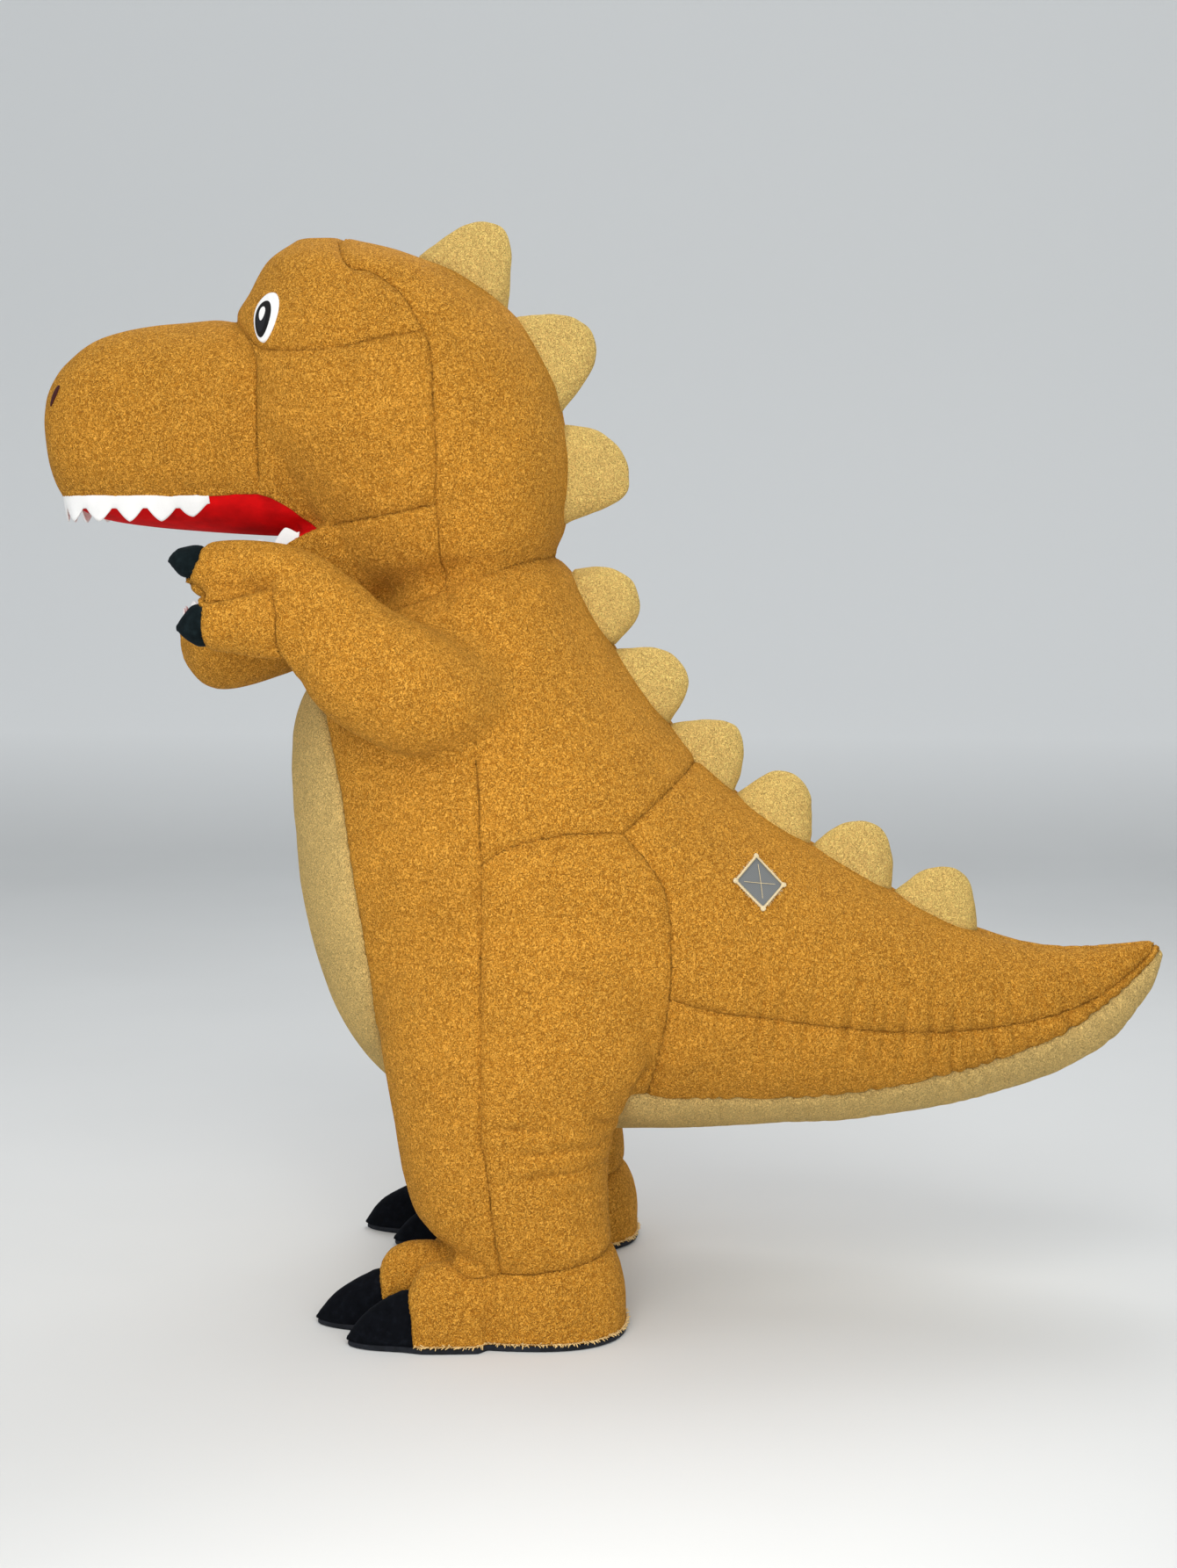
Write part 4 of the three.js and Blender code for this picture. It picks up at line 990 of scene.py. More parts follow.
def panel_fields(co):
    """For each panel, how far inside it a point of the skin is."""
    x, y, z = co.T
    yz = co[:, 1:]
    flat = {name: inside_distance(outline(name), yz) for name in OUTLINES}
    leg = border_field(z < LEG_SEARCH_TOP, "leg", "trunk", co)
    least_x, last_y, low_z, high_z = ARM_ROOM
    arm = border_field((np.abs(x) > least_x) & (y < last_y) & (z > low_z) & (z < high_z), "arm", "body", co)
    made["arm_field"] = arm
    below = np.minimum(leg, LEG_PANEL_TOP - z)
    claws = {k: inside_distance(np.asarray(v, float) / 1000, yz) for k, v in HAND_CLAWS.items()}
    clear = np.maximum(claws["upper"], claws["lower"])
    fields = {}
    for name in ("snout", "crown", "palate", "jaw_lining"):
        fields[name] = np.minimum(flat[name], -arm)
    for name in ("belly", "tail_underside"):
        fields[name] = np.minimum(np.minimum(flat[name], -arm), -leg)
    for side, sign in (("L", 1), ("R", -1)):
        half = sign * x
        for name in ("cheek", "jaw_side", "skull", "torso_back", "tail_upper", "tail_lower", "foot"):
            fields[f"{name}_{side}"] = np.minimum(np.minimum(flat[name], half), -arm)
        for name, upper, lower in (("torso_front", "torso_front", "leg_front"),
                                   ("thigh", "thigh", "leg_back")):
            part = np.maximum(flat[upper], np.minimum(flat[lower], below))
            fields[f"{name}_{side}"] = np.minimum(np.minimum(part, half), -arm)
        limb = np.minimum(arm, half)
        fields["arm_" + side] = np.minimum(np.minimum(limb, -flat["finger"]), -clear)
        fields["finger_" + side] = np.minimum(np.minimum(limb, flat["finger"]), -clear)
        for claw, field in claws.items():
            fields[f"hand_claw_{claw}_{side}"] = np.minimum(limb, field)
        taken = np.full(len(co), -FAR)
        for toe, (x0, x1) in TOE_SPANS.items():
            edge = np.interp(z, CLAW_HEIGHTS, CLAW_REACH) + CLAW_MORE[toe]
            field = np.minimum(TOES[toe][1] / 1000 + edge - y, np.minimum(half - x0, x1 - half))
            field = np.minimum(field, CLAW_TOP - z)
            fields[f"claw_{toe}_{side}"] = field
            taken = np.maximum(taken, field)
        fields["foot_" + side] = np.minimum(fields["foot_" + side], -taken)
    return fields


def eased_shoulders(co, edges):
    """Rounds the hollow where the arms run into the body."""
    arm = made["arm_field"]
    near = np.exp(-(arm / 0.075) ** 2) * np.clip((co[:, 1] + 0.44) / 0.14, 0, 1)
    near *= (np.abs(arm) < 0.19) * np.clip((co[:, 2] - 1.17) / 0.12, 0.3, 1)
    part = np.flatnonzero(near > 0.005)
    place = np.full(len(co), -1)
    place[part] = np.arange(len(part))
    inner = place[edges]
    inner = inner[(inner >= 0).all(1)]
    soft = co.copy()
    soft[part] = smoothed(co[part], inner, 150, keep_size=False)
    return co + (soft - co) * near[:, None]


def length_of(line):
    return np.linalg.norm(np.diff(line, axis=0), axis=1).sum()


def crease_at(points, yz, taper):
    """Distance of side-view points to a crease, and its strength, less towards its two ends."""
    line = spline(points, 5) / 1000
    far, run = along(line, yz)
    return far, np.sin(np.clip(run / length_of(line), 0, 1) * np.pi) ** taper


def creased(co, offset):
    """Presses the creases in. Returns the distance to the nearest one that gets a painted shade line."""
    yz, arm = co[:, 1:], made["arm_field"]
    body = (np.abs(co[:, 0]) > 0.03) & (arm < 0.01)
    # dark: distance to the nearest crease that gets a painted shade line.
    dark = np.full(len(co), 0.02)
    for depth, width, points in CREASES:
        far, ends = crease_at(points, yz, 0.6)
        if depth >= PAINTED_SHADE_CREASE:
            near = np.minimum(dark, far * 0.36 + 0.0003 + 0.006 * (1 - ends))
            dark = np.where(body, near, dark)
        shape = (np.exp(-(far / (width / 1000)) ** 2)
                 - 0.45 * np.exp(-(far / (2.2 * width / 1000)) ** 2))
        offset -= (depth / 1000) * shape * ends * body
    for depth, width, points in ARM_CREASES:
        far, ends = crease_at(points, yz, 0.4)
        if depth >= PAINTED_SHADE_CREASE:
            near = np.minimum(dark, far * 0.8 + 0.0005 + 0.010 * (1 - ends))
            dark = np.where(arm > 0, near, dark)
        offset -= (depth / 1000) * np.exp(-(far / (width / 1000)) ** 2) * ends * (arm > 0)
    return dark


def noise_along(values, rate, second, third):
    return np.array([noise.noise(Vector((v * rate, second, third))) for v in values])


def gathered(co, offset, dark):
    """Puckers the cloth across its seams. Deep valleys of the tail also get painted shade lines."""
    for name, wave, height, reach, start, end in GATHERS:
        wave, rise, reach = wave / 1000, height / 1000, reach / 1000
        line = seam_line(name)
        far, run = along(line, co[:, 1:])
        near = far < 3 * reach
        s = run[near]
        share = s / length_of(line)
        phase = s / wave + 1.3 * noise_along(s, 9.0, len(name) * 1.7, 0.3)
        on = np.clip((share - start) / 0.06 + 1, 0, 1) * np.clip((end - share) / 0.06 + 1, 0, 1)
        fade = np.exp(-(far[near] / reach) ** 2)
        if height > VALLEY_HEIGHT:
            number = np.round(phase)
            strong = np.clip(0.75 + 0.6 * noise_along(number, 1.37, 0.4, len(name)), 0, 1)
            gap = np.abs(phase - number) * wave
            offset[near] -= rise * strong * np.exp(-(gap / 0.008) ** 2) * fade * on
            # Painted shade line along each deep valley.
            dark[near] = np.minimum(dark[near], gap * 0.4 + 0.0004 + 0.005 * (1 - fade * on * strong))
        else:
            size = np.clip(0.55 + 0.9 * noise_along(s, 14.0, 4.1, len(name)), 0.1, 1.4)
            ripple = np.cos(2 * np.pi * phase)
            ripple = np.sign(ripple) * np.abs(ripple) ** 0.8
            offset[near] += rise * size * ripple * fade * on * 0.6


def quiet_seams(co):
    """From 0 to 1, how far the pile hides a seam: round the shoulder and in the QUIET places."""
    quiet = np.exp(-(made["arm_field"] / 0.022) ** 2) * (co[:, 1] > -0.45)
    for y, z, reach in QUIET:
        far = np.hypot(co[:, 1] - y / 1000, co[:, 2] - z / 1000)
        quiet = np.maximum(quiet, np.exp(-(far / (reach / 1000)) ** 4))
    return quiet


def pressed(co, tri, edges, fields, sizes):
    """Pushes the skin in at its seams and creases and adds gathers and slack."""
    second, first = np.sort(np.stack(list(fields.values())), 0)[-2:]
    border = (first - second) / 2
    slope = np.clip(surface_slope(border, co, tri), 0.25, 1.5)
    seam = border / slope
    n = smoothed(normals(co, tri), edges, 2, keep_size=False)
    n /= np.linalg.norm(n, axis=1, keepdims=True)
    mouth = np.maximum(fields["palate"], fields["jaw_lining"])
    lips = np.exp(-(mouth / 0.014) ** 2)
    plain = np.maximum(lips, quiet_seams(co))
    puff = np.clip(seam / 0.075, 0, 1)
    offset = -sizes.seam_depth * np.exp(-(seam / sizes.seam_width) ** 2) * (1 - plain)
    offset += (0.0035 * (1 - (1 - puff) ** 2) - 0.0015) * (1 - plain)
    for name, depth, width in DEEP_SEAMS:
        far, _ = along(seam_line(name), co[:, 1:])
        offset -= depth * np.exp(-(far / width) ** 2)
    # dark: distance to the creases and deep tail valleys that get a painted shade line.
    dark = creased(co, offset)
    gathered(co, offset, dark)
    slack = (0.0042 * soft_noise(co, 3.6, 1) + 0.0026 * soft_noise(co, 8.5, 2)
             + 0.0012 * soft_noise(co * (1, 0.6, 1), 22.0, 3))
    offset += slack * np.clip(seam / 0.05, 0.25, 1)
    inner = mouth > 0
    offset[inner] = -0.004 * np.clip(mouth[inner] / 0.006, 0, 1) + 0.4 * slack[inner]
    low = np.clip((co[:, 2] - 0.012) / 0.05, 0, 1)
    offset = np.where(co[:, 2] < 0.07, offset * low, offset)
    made["slope"], made["lips"], made["plain"], made["dark"] = slope, lips, plain, dark
    return co + n * offset[:, None]


class COSTUME_OT_body(Operator):
    """Sews the inflated body: brown plush panels, cream underside, red mouth and velvet claws"""
    bl_idname = "costume.body"
    bl_label = "Body panels"

    def execute(self, context):
        sizes = context.scene.costume_sizes
        co, tri, edges = joined_skin(sizes.cloth_grain)
        fields = panel_fields(co)
        co = eased_shoulders(co, edges)
        co = pressed(co, tri, edges, fields, sizes)
        made["skin_tree"] = BVHTree.FromPolygons([Vector(p) for p in co], tri.tolist())
        stack = np.stack(list(fields.values()))
        floor = co[:, 2] - (sizes.sole_thickness + 0.0003)
        for i, name in enumerate(fields):
            others = np.delete(stack, i, 0).max(0)
            signed = (stack[i] - others) / 2 / made["slope"]
            reach = sizes.seam_allowance * (1 + (0 if FINISHES.get(name) == "red" else 1.2 * made["lips"]))
            self.panel(name, co, tri, signed, np.minimum(signed + reach, floor), sizes)
        return {"FINISHED"}

    def panel(self, name, co, tri, signed, field, sizes):
        """Cuts one panel out of the skin, turns its edges in and gives it its thickness."""
        red = FINISHES.get(name) == "red"
        marks = np.column_stack([signed, made["plain"], made["dark"]])
        co, tri, edge = clipped(co, tri, field, marks)
        if len(tri) == 0:
            raise RuntimeError(f"panel {name} is empty")
        co, tri, used = largest_part(co, tri)
        gap, plain, dark = edge[used].T
        turn = 0.0034 if red else sizes.seam_turn * (1 - plain)
        co = co - normals(co, tri) * (np.clip((0.0045 - gap) / 0.006, 0, 1) * turn)[:, None]
        claw = "claw" in name
        kind = FINISHES.get(name, "brown")
        if claw:
            kind = "slate" if name.startswith("hand") else "black"
        obj = new_object(name + ("_velvet" if claw else "_cloth"), co, tri, material(kind))
        # The seam mark carries the seam edges and the shaded creases and valleys; the plush paints shade
        # along it.
        mark_seam(obj, np.minimum(np.maximum(gap, 0.02 * plain), dark))
        area = area_of(co, tri)
        wall(obj, sizes.cloth_thickness)
        finish_piece(obj, kind, name)
        length = np.ptp(co, axis=0).max()


# Padded back spines

# Half slices of a spine in degrees from its middle, crowded at the seam round its edge.
SPINE_SLICES = (-78, -60, -42, -26, -12, -4, 0, 4, 12, 26, 42, 60, 78)
# How far a spine's foot reaches into the body, in metres.
SPINE_FOOT = 0.034


class COSTUME_OT_spines(Operator):
    """Stuffs the nine cream spines that stand along the back"""
    bl_idname = "costume.spines"
    bl_label = "Back spines"

    def execute(self, context):
        sizes = context.scene.costume_sizes
        for index, row in enumerate(SPINES):
            knots = np.asarray(row, float).reshape(-1, 2) / 1000
            edge = spline(knots, 10)
            first, last, tip = knots[0], knots[-1], knots[2]
            t = (last - first) / np.linalg.norm(last - first)
            side = np.array([t[1], -t[0]])
            if (tip - first) @ side > 0:
                side = -side
            deep = side * SPINE_FOOT
            base = spline(np.array([last + deep - t * 0.012, (first + last) / 2 + deep * 1.2,
                                    first + deep + t * 0.012]), 8)
            loop = np.vstack([edge, base])
            centre = (first + last) * 0.36 + tip * 0.28
            top = -(tip - first) @ side

            def half_at(yz):
                up = np.clip(-(yz - first) @ side / top, -0.2, 1)
                return sizes.spine_base_half + (sizes.spine_tip_half - sizes.spine_base_half) * up

            rings = []
            for deg in SPINE_SLICES:
                r = math.radians(deg)
                k = math.cos(r) ** 0.62 - (0.012 if abs(deg) < 3 else 0.0)
                yz = centre + (loop - centre) * k
                rings.append(np.column_stack([half_at(yz) * math.sin(r), yz]))
            middle = half_at(centre)
            co, faces = ring_skin((-middle, *centre), rings, (middle, *centre))
            mesh = mesh_of("spine", [(co, faces)], 1.0)
            facing_out(mesh)
            co, tri = arrays(mesh)
            bpy.data.meshes.remove(mesh)
            n = normals(co, tri)
            run, rise = (co[:, 1:] - first) @ t, (co[:, 1:] - first) @ side
            pucker = np.cos(run / 0.021) * np.exp(-rise ** 2 / 0.03 ** 2)
            slack = 0.0030 * soft_noise(co, 14.0, index + 5) + 0.0016 * soft_noise(co, 36.0, index + 9)
            co = co + n * (slack + 0.0016 * pucker)[:, None]
            obj = new_object(f"spine_{index + 1}_pad", co, tri, material("spine"))
            finish_piece(obj, "cream", f"spine_{index + 1}")
        return {"FINISHED"}


# Teeth, eyes, nostrils, patch

def evenly(points, step):
    """Points spaced evenly along a line."""
    points = np.asarray(points, float)
    run = np.concatenate([[0], np.cumsum(np.linalg.norm(np.diff(points, axis=0), axis=1))])
    count = max(2, int(round(run[-1] / step)))
    want = np.linspace(0, run[-1], count + 1)
    return np.column_stack([np.interp(want, run, points[:, k]) for k in range(3)]), want


def tooth_depth(run, total, sizes, seed, ends):
    """Depth of the felt along the band: flat notches between blunt teeth of uneven size."""
    number = max(1, round(total / sizes.tooth_pitch))
    phase = run / total * number
    tooth = np.floor(phase)
    rise = np.clip((0.84 - np.abs(2 * (phase - tooth) - 1)) / 0.84, 0, 1)
    bump = 0.4 * rise + 0.6 * np.sin(rise * np.pi / 2)
    uneven = np.array([1 + 0.16 * noise.noise(Vector((t * 3.7, seed, 0.5))) for t in tooth])
    fade = np.minimum(1, ends + 4 * np.minimum(run, total - run) / total)
    return fade * (sizes.tooth_band + (sizes.tooth_depth - sizes.tooth_band) * bump * uneven)


def felt_band(name, line, direction, sizes, seed, curl, ends=0.8):
    """Felt strip along a line, with teeth that hang or stand and wave in and out a little."""
    points, run = evenly(line, 0.003)
    total = run[-1]
    depth = tooth_depth(run, total, sizes, seed, ends)
    tangent = np.gradient(points, axis=0)[:, :2]
    tangent /= np.maximum(np.linalg.norm(tangent, axis=1, keepdims=True), 1e-9)
    out = np.column_stack([tangent[:, 1], -tangent[:, 0], np.zeros(len(points))])
    wave = np.array([noise.noise(Vector((v * 17.0, seed * 2.0, 0.2))) for v in run])
    rows = 10
    co, faces = [], []
    for j in range(rows + 1):
        f = j / rows
        z = points[:, 2] + direction * (depth * f)
        push = (curl * f * f + 0.006 * wave * f)[:, None]
        co.append(np.column_stack([points[:, 0], points[:, 1], z]) + out * push)
    count = len(points)
    for j in range(rows):
        for i in range(count - 1):
            a = j * count + i
            faces.append((a, a + 1, a + 1 + count, a + count))
    obj = new_object(name, np.vstack(co), faces, material("white"))
    mod = wall(obj, sizes.felt_thickness)
    mod.offset = 0
    return obj


# Middle and height of the upper lip, and the height at which the felt is sewn on, in metres.
LIP_MIDDLE = (0, -0.822, 1.6535)
LIP_SEAM = 1.6575


class COSTUME_OT_teeth(Operator):
    """Cuts the two white felt bands with their rounded teeth"""
    bl_idname = "costume.teeth"
    bl_label = "Felt teeth"

    def execute(self, context):
        sizes = context.scene.costume_sizes
        tree = made["skin_tree"]
        lip = []
        centre = Vector(LIP_MIDDLE)
        for i in range(-60, 61):
            angle = i / 60 * 1.80
            way = Vector((math.sin(angle), -math.cos(angle), 0))
            hit = tree.ray_cast(centre + way * 0.6, -way)[0]
            if hit is not None:
                hit = hit - way * 0.0022
                lip.append((hit.x, hit.y, LIP_SEAM))
        upper = felt_band("teeth_upper_felt", lip, -1, sizes, 1.0, -0.006, 0.7)
        finish_piece(upper, "white", "teeth_upper")
        rim = spline(RIM_HALF, 6) / 1000
        left = rim[::-1] * (-1, 1, 1)
        line = np.vstack([left, rim[1:]])
        inward = np.column_stack([-np.sign(line[:, 0]) * 0.0055, np.full(len(line), 0.003),
                                  np.full(len(line), -0.006)])
        inward[np.abs(line[:, 0]) < 0.07] = (0, 0.0055, -0.006)
        lower = felt_band("teeth_lower_felt", line + inward, 1, sizes, 6.0, -0.004, 0.60)
        finish_piece(lower, "white", "teeth_lower")
        for obj in (upper, lower):
            area = area_of(*arrays(obj.data))
        return {"FINISHED"}


def across_and_up(normal):
    """Level and upward directions along a surface."""
    across = Vector((-normal.y, normal.x, 0)).normalized()
    up = normal.cross(across).normalized()
    return across, -up if up.z < 0 else up


def on_skin(tree, centre, normal, shape, lift):
    """Lays flat points, given as across and up, on the skin around a centre."""
    across, up = across_and_up(normal)
    out = []
    for u, v in shape:
        start = centre + across * u + up * v + normal * 0.08
        hit, n, _, _ = tree.ray_cast(start, -normal)
        if hit is None:
            hit, n = centre + across * u + up * v, normal
        out.append(hit + normal * lift)
    return out


def laid_disc(name, tree, centre, normal, rim, lift, edge, material_, rings=9):
    """Slightly domed piece of thread or felt laid on the skin, with a rounded edge going down."""
    rim = np.asarray(rim, float)
    middle = rim.mean(0)
    co, faces = [], []
    count = len(rim)
    levels = [(1.0, -edge), (0.982, 0.0)]
    levels += [(f, edge * 0.35 * (1 - f)) for f in np.linspace(0.93, 0.06, rings)]
    for f, rise in levels:
        shape = middle + (rim - middle) * f
        co += on_skin(tree, centre, normal, shape, lift + rise)
    for r in range(len(levels) - 1):
        for i in range(count):
            j = (i + 1) % count
            a, b = r * count, (r + 1) * count
            faces.append((a + i, a + j, b + j, b + i))
    top = on_skin(tree, centre, normal, [tuple(middle)], lift + edge * 0.35)[0]
    co.append(top)
    end = len(co) - 1
    last = (len(levels) - 1) * count
    faces += [(last + i, last + (i + 1) % count, end) for i in range(count)]
    obj = new_object(name, [tuple(p) for p in co], faces, material_)
    if obj.data.polygons[len(faces) - 1].normal.dot(normal) < 0:
        obj.data.flip_normals()
    return obj


def eye_shape(width, height, drop=0.0, across=0.0, lean=0.0, count=64):
    """Egg outline, narrow below, moved across and up and leaning over to one side."""
    a = 2 * np.pi * (np.arange(count) + 0.5) / count
    taper = 1 - 0.09 * (1 - np.sin(a)) ** 2
    up = height / 2 * np.sin(a) + drop
    return np.column_stack([across + width / 2 * np.cos(a) * taper + lean * up, up])


# Way from the middle of the head out to an eye, for the left one, and where it starts.
EYE_WAY = (0.745, -0.667, 0)
EYE_START = (0, -0.463, 1.997)
# Middle of the nostril in the side view, its width and height, all in metres.
NOSTRIL = (-1.095, 1.851)
NOSTRIL_SIZE = (0.015, 0.044)
# Layers of an eye: name, share of the eye's width and height, drop, how far ahead it sits, points,
# lift over the skin, edge, finish, slot, and the solid it stands for.
EYE_LAYERS = (
    ("eye_white_felt_", 1.12, 1.00, 0.0, 0.0, 64, 0.0034, 0.0032, "white", "white", "eye_white_"),
    ("eye_ring_thread_", 0.74, 0.73, -0.0040, 0.0035, 64, 0.0052, 0.0016, "ring", "black", "pupil_"),
    ("eye_centre_thread_", 0.42, 0.50, -0.0055, 0.0035, 64, 0.0064, 0.0010, "pupil", "black", None),
    ("eye_light_thread_", 0.27, 0.28, 0.0060, 0.0035, 32, 0.0074, 0.0008, "white", "white", None),
)


class COSTUME_OT_face(Operator):
    """Sews the eyes and the nostrils on the head"""
    bl_idname = "costume.face"
    bl_label = "Eyes and nostrils"

    def execute(self, context):
        sizes = context.scene.costume_sizes
        tree = made["skin_tree"]
        for side, sign in (("L", 1), ("R", -1)):
            way = Vector((sign * EYE_WAY[0], *EYE_WAY[1:])).normalized()
            start = Vector(EYE_START)
            hit, normal, _, _ = tree.ray_cast(start + way * 0.6, -way)
            normal = (normal + Vector((0, 0, -normal.z * 0.6))).normalized()
            for name, w, h, drop, ahead, count, lift, edge, look, slot, solid in EYE_LAYERS:
                shape = eye_shape(sizes.eye_width * w, sizes.eye_height * h, drop, -sign * ahead,
                                  -sign * 0.06, count)
                piece = laid_disc(name + side, tree, hit, normal, shape, lift, edge, material(look))
                finish_piece(piece, slot, *([solid + side] if solid else []))
            hit, normal, _, _ = tree.ray_cast(Vector((sign * 0.9, *NOSTRIL)), Vector((-sign, 0, 0)))
            slit = laid_disc("nostril_thread_" + side, tree, hit, normal,
                             eye_shape(*NOSTRIL_SIZE, 0, 0, sign * 0.28, 40), 0.0026, 0.0020,
                             material("maroon"), 5)
            finish_piece(slit, "maroon", "nostril_" + side)
        return {"FINISHED"}


def thread_tree():
    """Node tree that sets short threads along a line, each a little different."""
    if "thread tree" in made:
        return made["thread tree"]
    tree = bpy.data.node_groups.new("Threads along a line", "GeometryNodeTree")
    tree.interface.new_socket("Geometry", in_out="INPUT", socket_type="NodeSocketGeometry")
    for label, kind, value in (("Spacing", "Float", 0.002), ("Length", "Float", 0.006),
                               ("Radius", "Float", 0.0006), ("Spread", "Float", 0.4),
                               ("Seed", "Int", 11), ("Material", "Material", None)):
        socket = tree.interface.new_socket(label, in_out="INPUT", socket_type="NodeSocket" + kind)
        if value is not None:
            socket.default_value = value
    tree.interface.new_socket("Geometry", in_out="OUTPUT", socket_type="NodeSocketGeometry")
    add = tree.nodes.new
    given, out = add("NodeGroupInput"), add("NodeGroupOutput")
    curve, even = add("GeometryNodeMeshToCurve"), add("GeometryNodeResampleCurve")
    even.mode = "LENGTH"
    on = add("GeometryNodeInstanceOnPoints")
    cone = add("GeometryNodeMeshCone")
    cone.inputs["Vertices"].default_value = 5
    way = add("GeometryNodeInputNamedAttribute")
    way.data_type = "FLOAT_VECTOR"
    way.inputs["Name"].default_value = "way"
    sway = add("FunctionNodeRandomValue")
    sway.data_type = "FLOAT_VECTOR"
    sway.inputs[0].default_value = (-1, -1, -1)
    sway.inputs[1].default_value = (1, 1, 1)
    less, total = add("ShaderNodeVectorMath"), add("ShaderNodeVectorMath")
    less.operation = "SCALE"
    turn = add("FunctionNodeAlignRotationToVector")
    turn.axis = "Z"
    size = add("FunctionNodeRandomValue")
    size.data_type = "FLOAT"
    size.inputs[2].default_value = 0.65
    size.inputs[3].default_value = 1.25
    thin = add("ShaderNodeMath")
    thin.operation = "MULTIPLY"
    thin.inputs[1].default_value = 0.45
    real, paint = add("GeometryNodeRealizeInstances"), add("GeometryNodeSetMaterial")
    for start, output, end, socket in (
            (given, "Geometry", curve, "Mesh"), (curve, "Curve", even, "Curve"),
            (given, "Spacing", even, "Length"), (even, "Curve", on, "Points"),
            (given, "Radius", cone, "Radius Bottom"), (given, "Radius", thin, 0),
            (thin, 0, cone, "Radius Top"), (given, "Length", cone, "Depth"),
            (cone, "Mesh", on, "Instance"), (given, "Seed", sway, "Seed"), (given, "Seed", size, "Seed"),
            (sway, 0, less, 0), (given, "Spread", less, "Scale"), (way, 0, total, 0),
            (less, 0, total, 1), (total, 0, turn, "Vector"), (turn, "Rotation", on, "Rotation"),
            (size, 1, on, "Scale"), (on, "Instances", real, "Geometry"),
            (real, "Geometry", paint, "Geometry"), (given, "Material", paint, "Material"),
            (paint, "Geometry", out, "Geometry")):
        tree.links.new(start.outputs[output], end.inputs[socket])
    made["thread tree"] = tree
    return tree


def threads(name, points, ways, closed, material_, **values):
    """Short threads along a line of points; ways says where each one leans."""
    count = len(points)
    mesh = bpy.data.meshes.new(name)
    edges = [(i, i + 1) for i in range(count - 1)] + ([(count - 1, 0)] if closed else [])
    mesh.from_pydata([tuple(p) for p in points], edges, [])
    layer = mesh.attributes.new("way", "FLOAT_VECTOR", "POINT")
    layer.data.foreach_set("vector", np.asarray(ways, np.float32).ravel())
    obj = bpy.data.objects.new(name, mesh)
    bpy.context.scene.collection.objects.link(obj)
    mod = obj.modifiers.new("Threads", "NODES")
    mod.node_group = thread_tree()
    values["Material"] = material_
    for item in mod.node_group.interface.items_tree:
        if item.in_out == "INPUT" and item.name in values:
            mod[item.identifier] = values[item.name]
    obj = baked(obj)
    obj.data.shade_smooth()
    return obj


def cord(name, path, radius, finish, closed):
    """Round cord of thread along a path."""
    curve = bpy.data.curves.new(name, "CURVE")
    curve.dimensions = "3D"
    curve.bevel_depth = radius
    curve.bevel_resolution = 2
    line = curve.splines.new("POLY")
    line.points.add(len(path) - 1)
    for point, p in zip(line.points, path):
        point.co = (*p, 1)
    line.use_cyclic_u = closed
    obj = bpy.data.objects.new(name, curve)
    bpy.context.scene.collection.objects.link(obj)
    graph = bpy.context.evaluated_depsgraph_get()
    mesh = bpy.data.meshes.new_from_object(obj.evaluated_get(graph))
    bpy.data.objects.remove(obj)
    bpy.data.curves.remove(curve)
    mesh.materials.clear()
    mesh.materials.append(finish)
    mesh.shade_smooth()
    piece = bpy.data.objects.new(name, mesh)
    bpy.context.scene.collection.objects.link(piece)
    return piece


# Radius of the thick knots at the patch's corners, in metres.
KNOT_RADIUS = 0.0052


class COSTUME_OT_patch(Operator):
    """Lays the grey diamond patch with its overlocked border on the side of the tail"""
    bl_idname = "costume.patch"
    bl_label = "Tail patch"

    def execute(self, context):
        tree, trim = made["skin_tree"], material("trim")
        inwards = Vector((-1, 0, 0))
        corners = np.asarray(PATCH, float) / 1000
        hit, normal, _, _ = tree.ray_cast(Vector((0.9, *corners.mean(0))), inwards)
        across, up = across_and_up(normal)
        flat = []
        for y, z in corners:
            p = tree.ray_cast(Vector((0.9, y, z)), inwards)[0] - hit
            flat.append((p.dot(across), p.dot(up)))
        loop = []
        for a, b in zip(flat, flat[1:] + flat[:1]):
            for k in range(12):
                loop.append((a[0] + (b[0] - a[0]) * k / 12, a[1] + (b[1] - a[1]) * k / 12))
        cloth = laid_disc("vent_patch_cloth", tree, hit, normal, loop, 0.0024, 0.0020, material("grey"), 6)
        finish_piece(cloth, "grey", "vent_patch")
        border = on_skin(tree, hit, normal, loop, 0.0036)
        finish_piece(cord("vent_patch_border", border, 0.0022, trim, True), "cream")
        rim = np.asarray(loop, float)
        centre = rim.mean(0)
        inner = on_skin(tree, hit, normal, centre + (rim - centre) * 0.93, 0.0052)
        outer = on_skin(tree, hit, normal, centre + (rim - centre) * 1.05, 0.0040)
        ways = [tuple(b - a) for a, b in zip(inner, outer)]
        whip = threads("vent_patch_overlock", inner, ways, True, trim, Spacing=0.0021, Length=0.0085,
                       Radius=0.00075, Spread=0.0016, Seed=3)
        finish_piece(whip, "cream")
        for k in (0, 1):
            a, b = np.array(flat[k]), np.array(flat[k + 2])
            tack = [tuple(a * 0.82 + b * 0.18 + (b - a) * 0.64 * i / 12) for i in range(13)]
            tack = on_skin(tree, hit, normal, tack, 0.0046)
            finish_piece(cord(f"vent_patch_tack_{k + 1}", tack, 0.0006, trim, False), "cream")
        for k, (u, v) in enumerate(flat):
            ring = [(u + KNOT_RADIUS * math.cos(a), v + KNOT_RADIUS * math.sin(a))
                    for a in np.linspace(0, 2 * math.pi, 15)[:-1]]
            knot = laid_disc(f"vent_patch_knot_{k + 1}", tree, hit, normal, ring, 0.0060, 0.0030, trim, 4)
            finish_piece(knot, "cream")
        return {"FINISHED"}


# Soles and the raw overlocked edge above them

# Middle of the left heel, and where the claws end along the foot, in metres.
HEEL = (0.290, -0.185)
CLAWS_END = -0.343


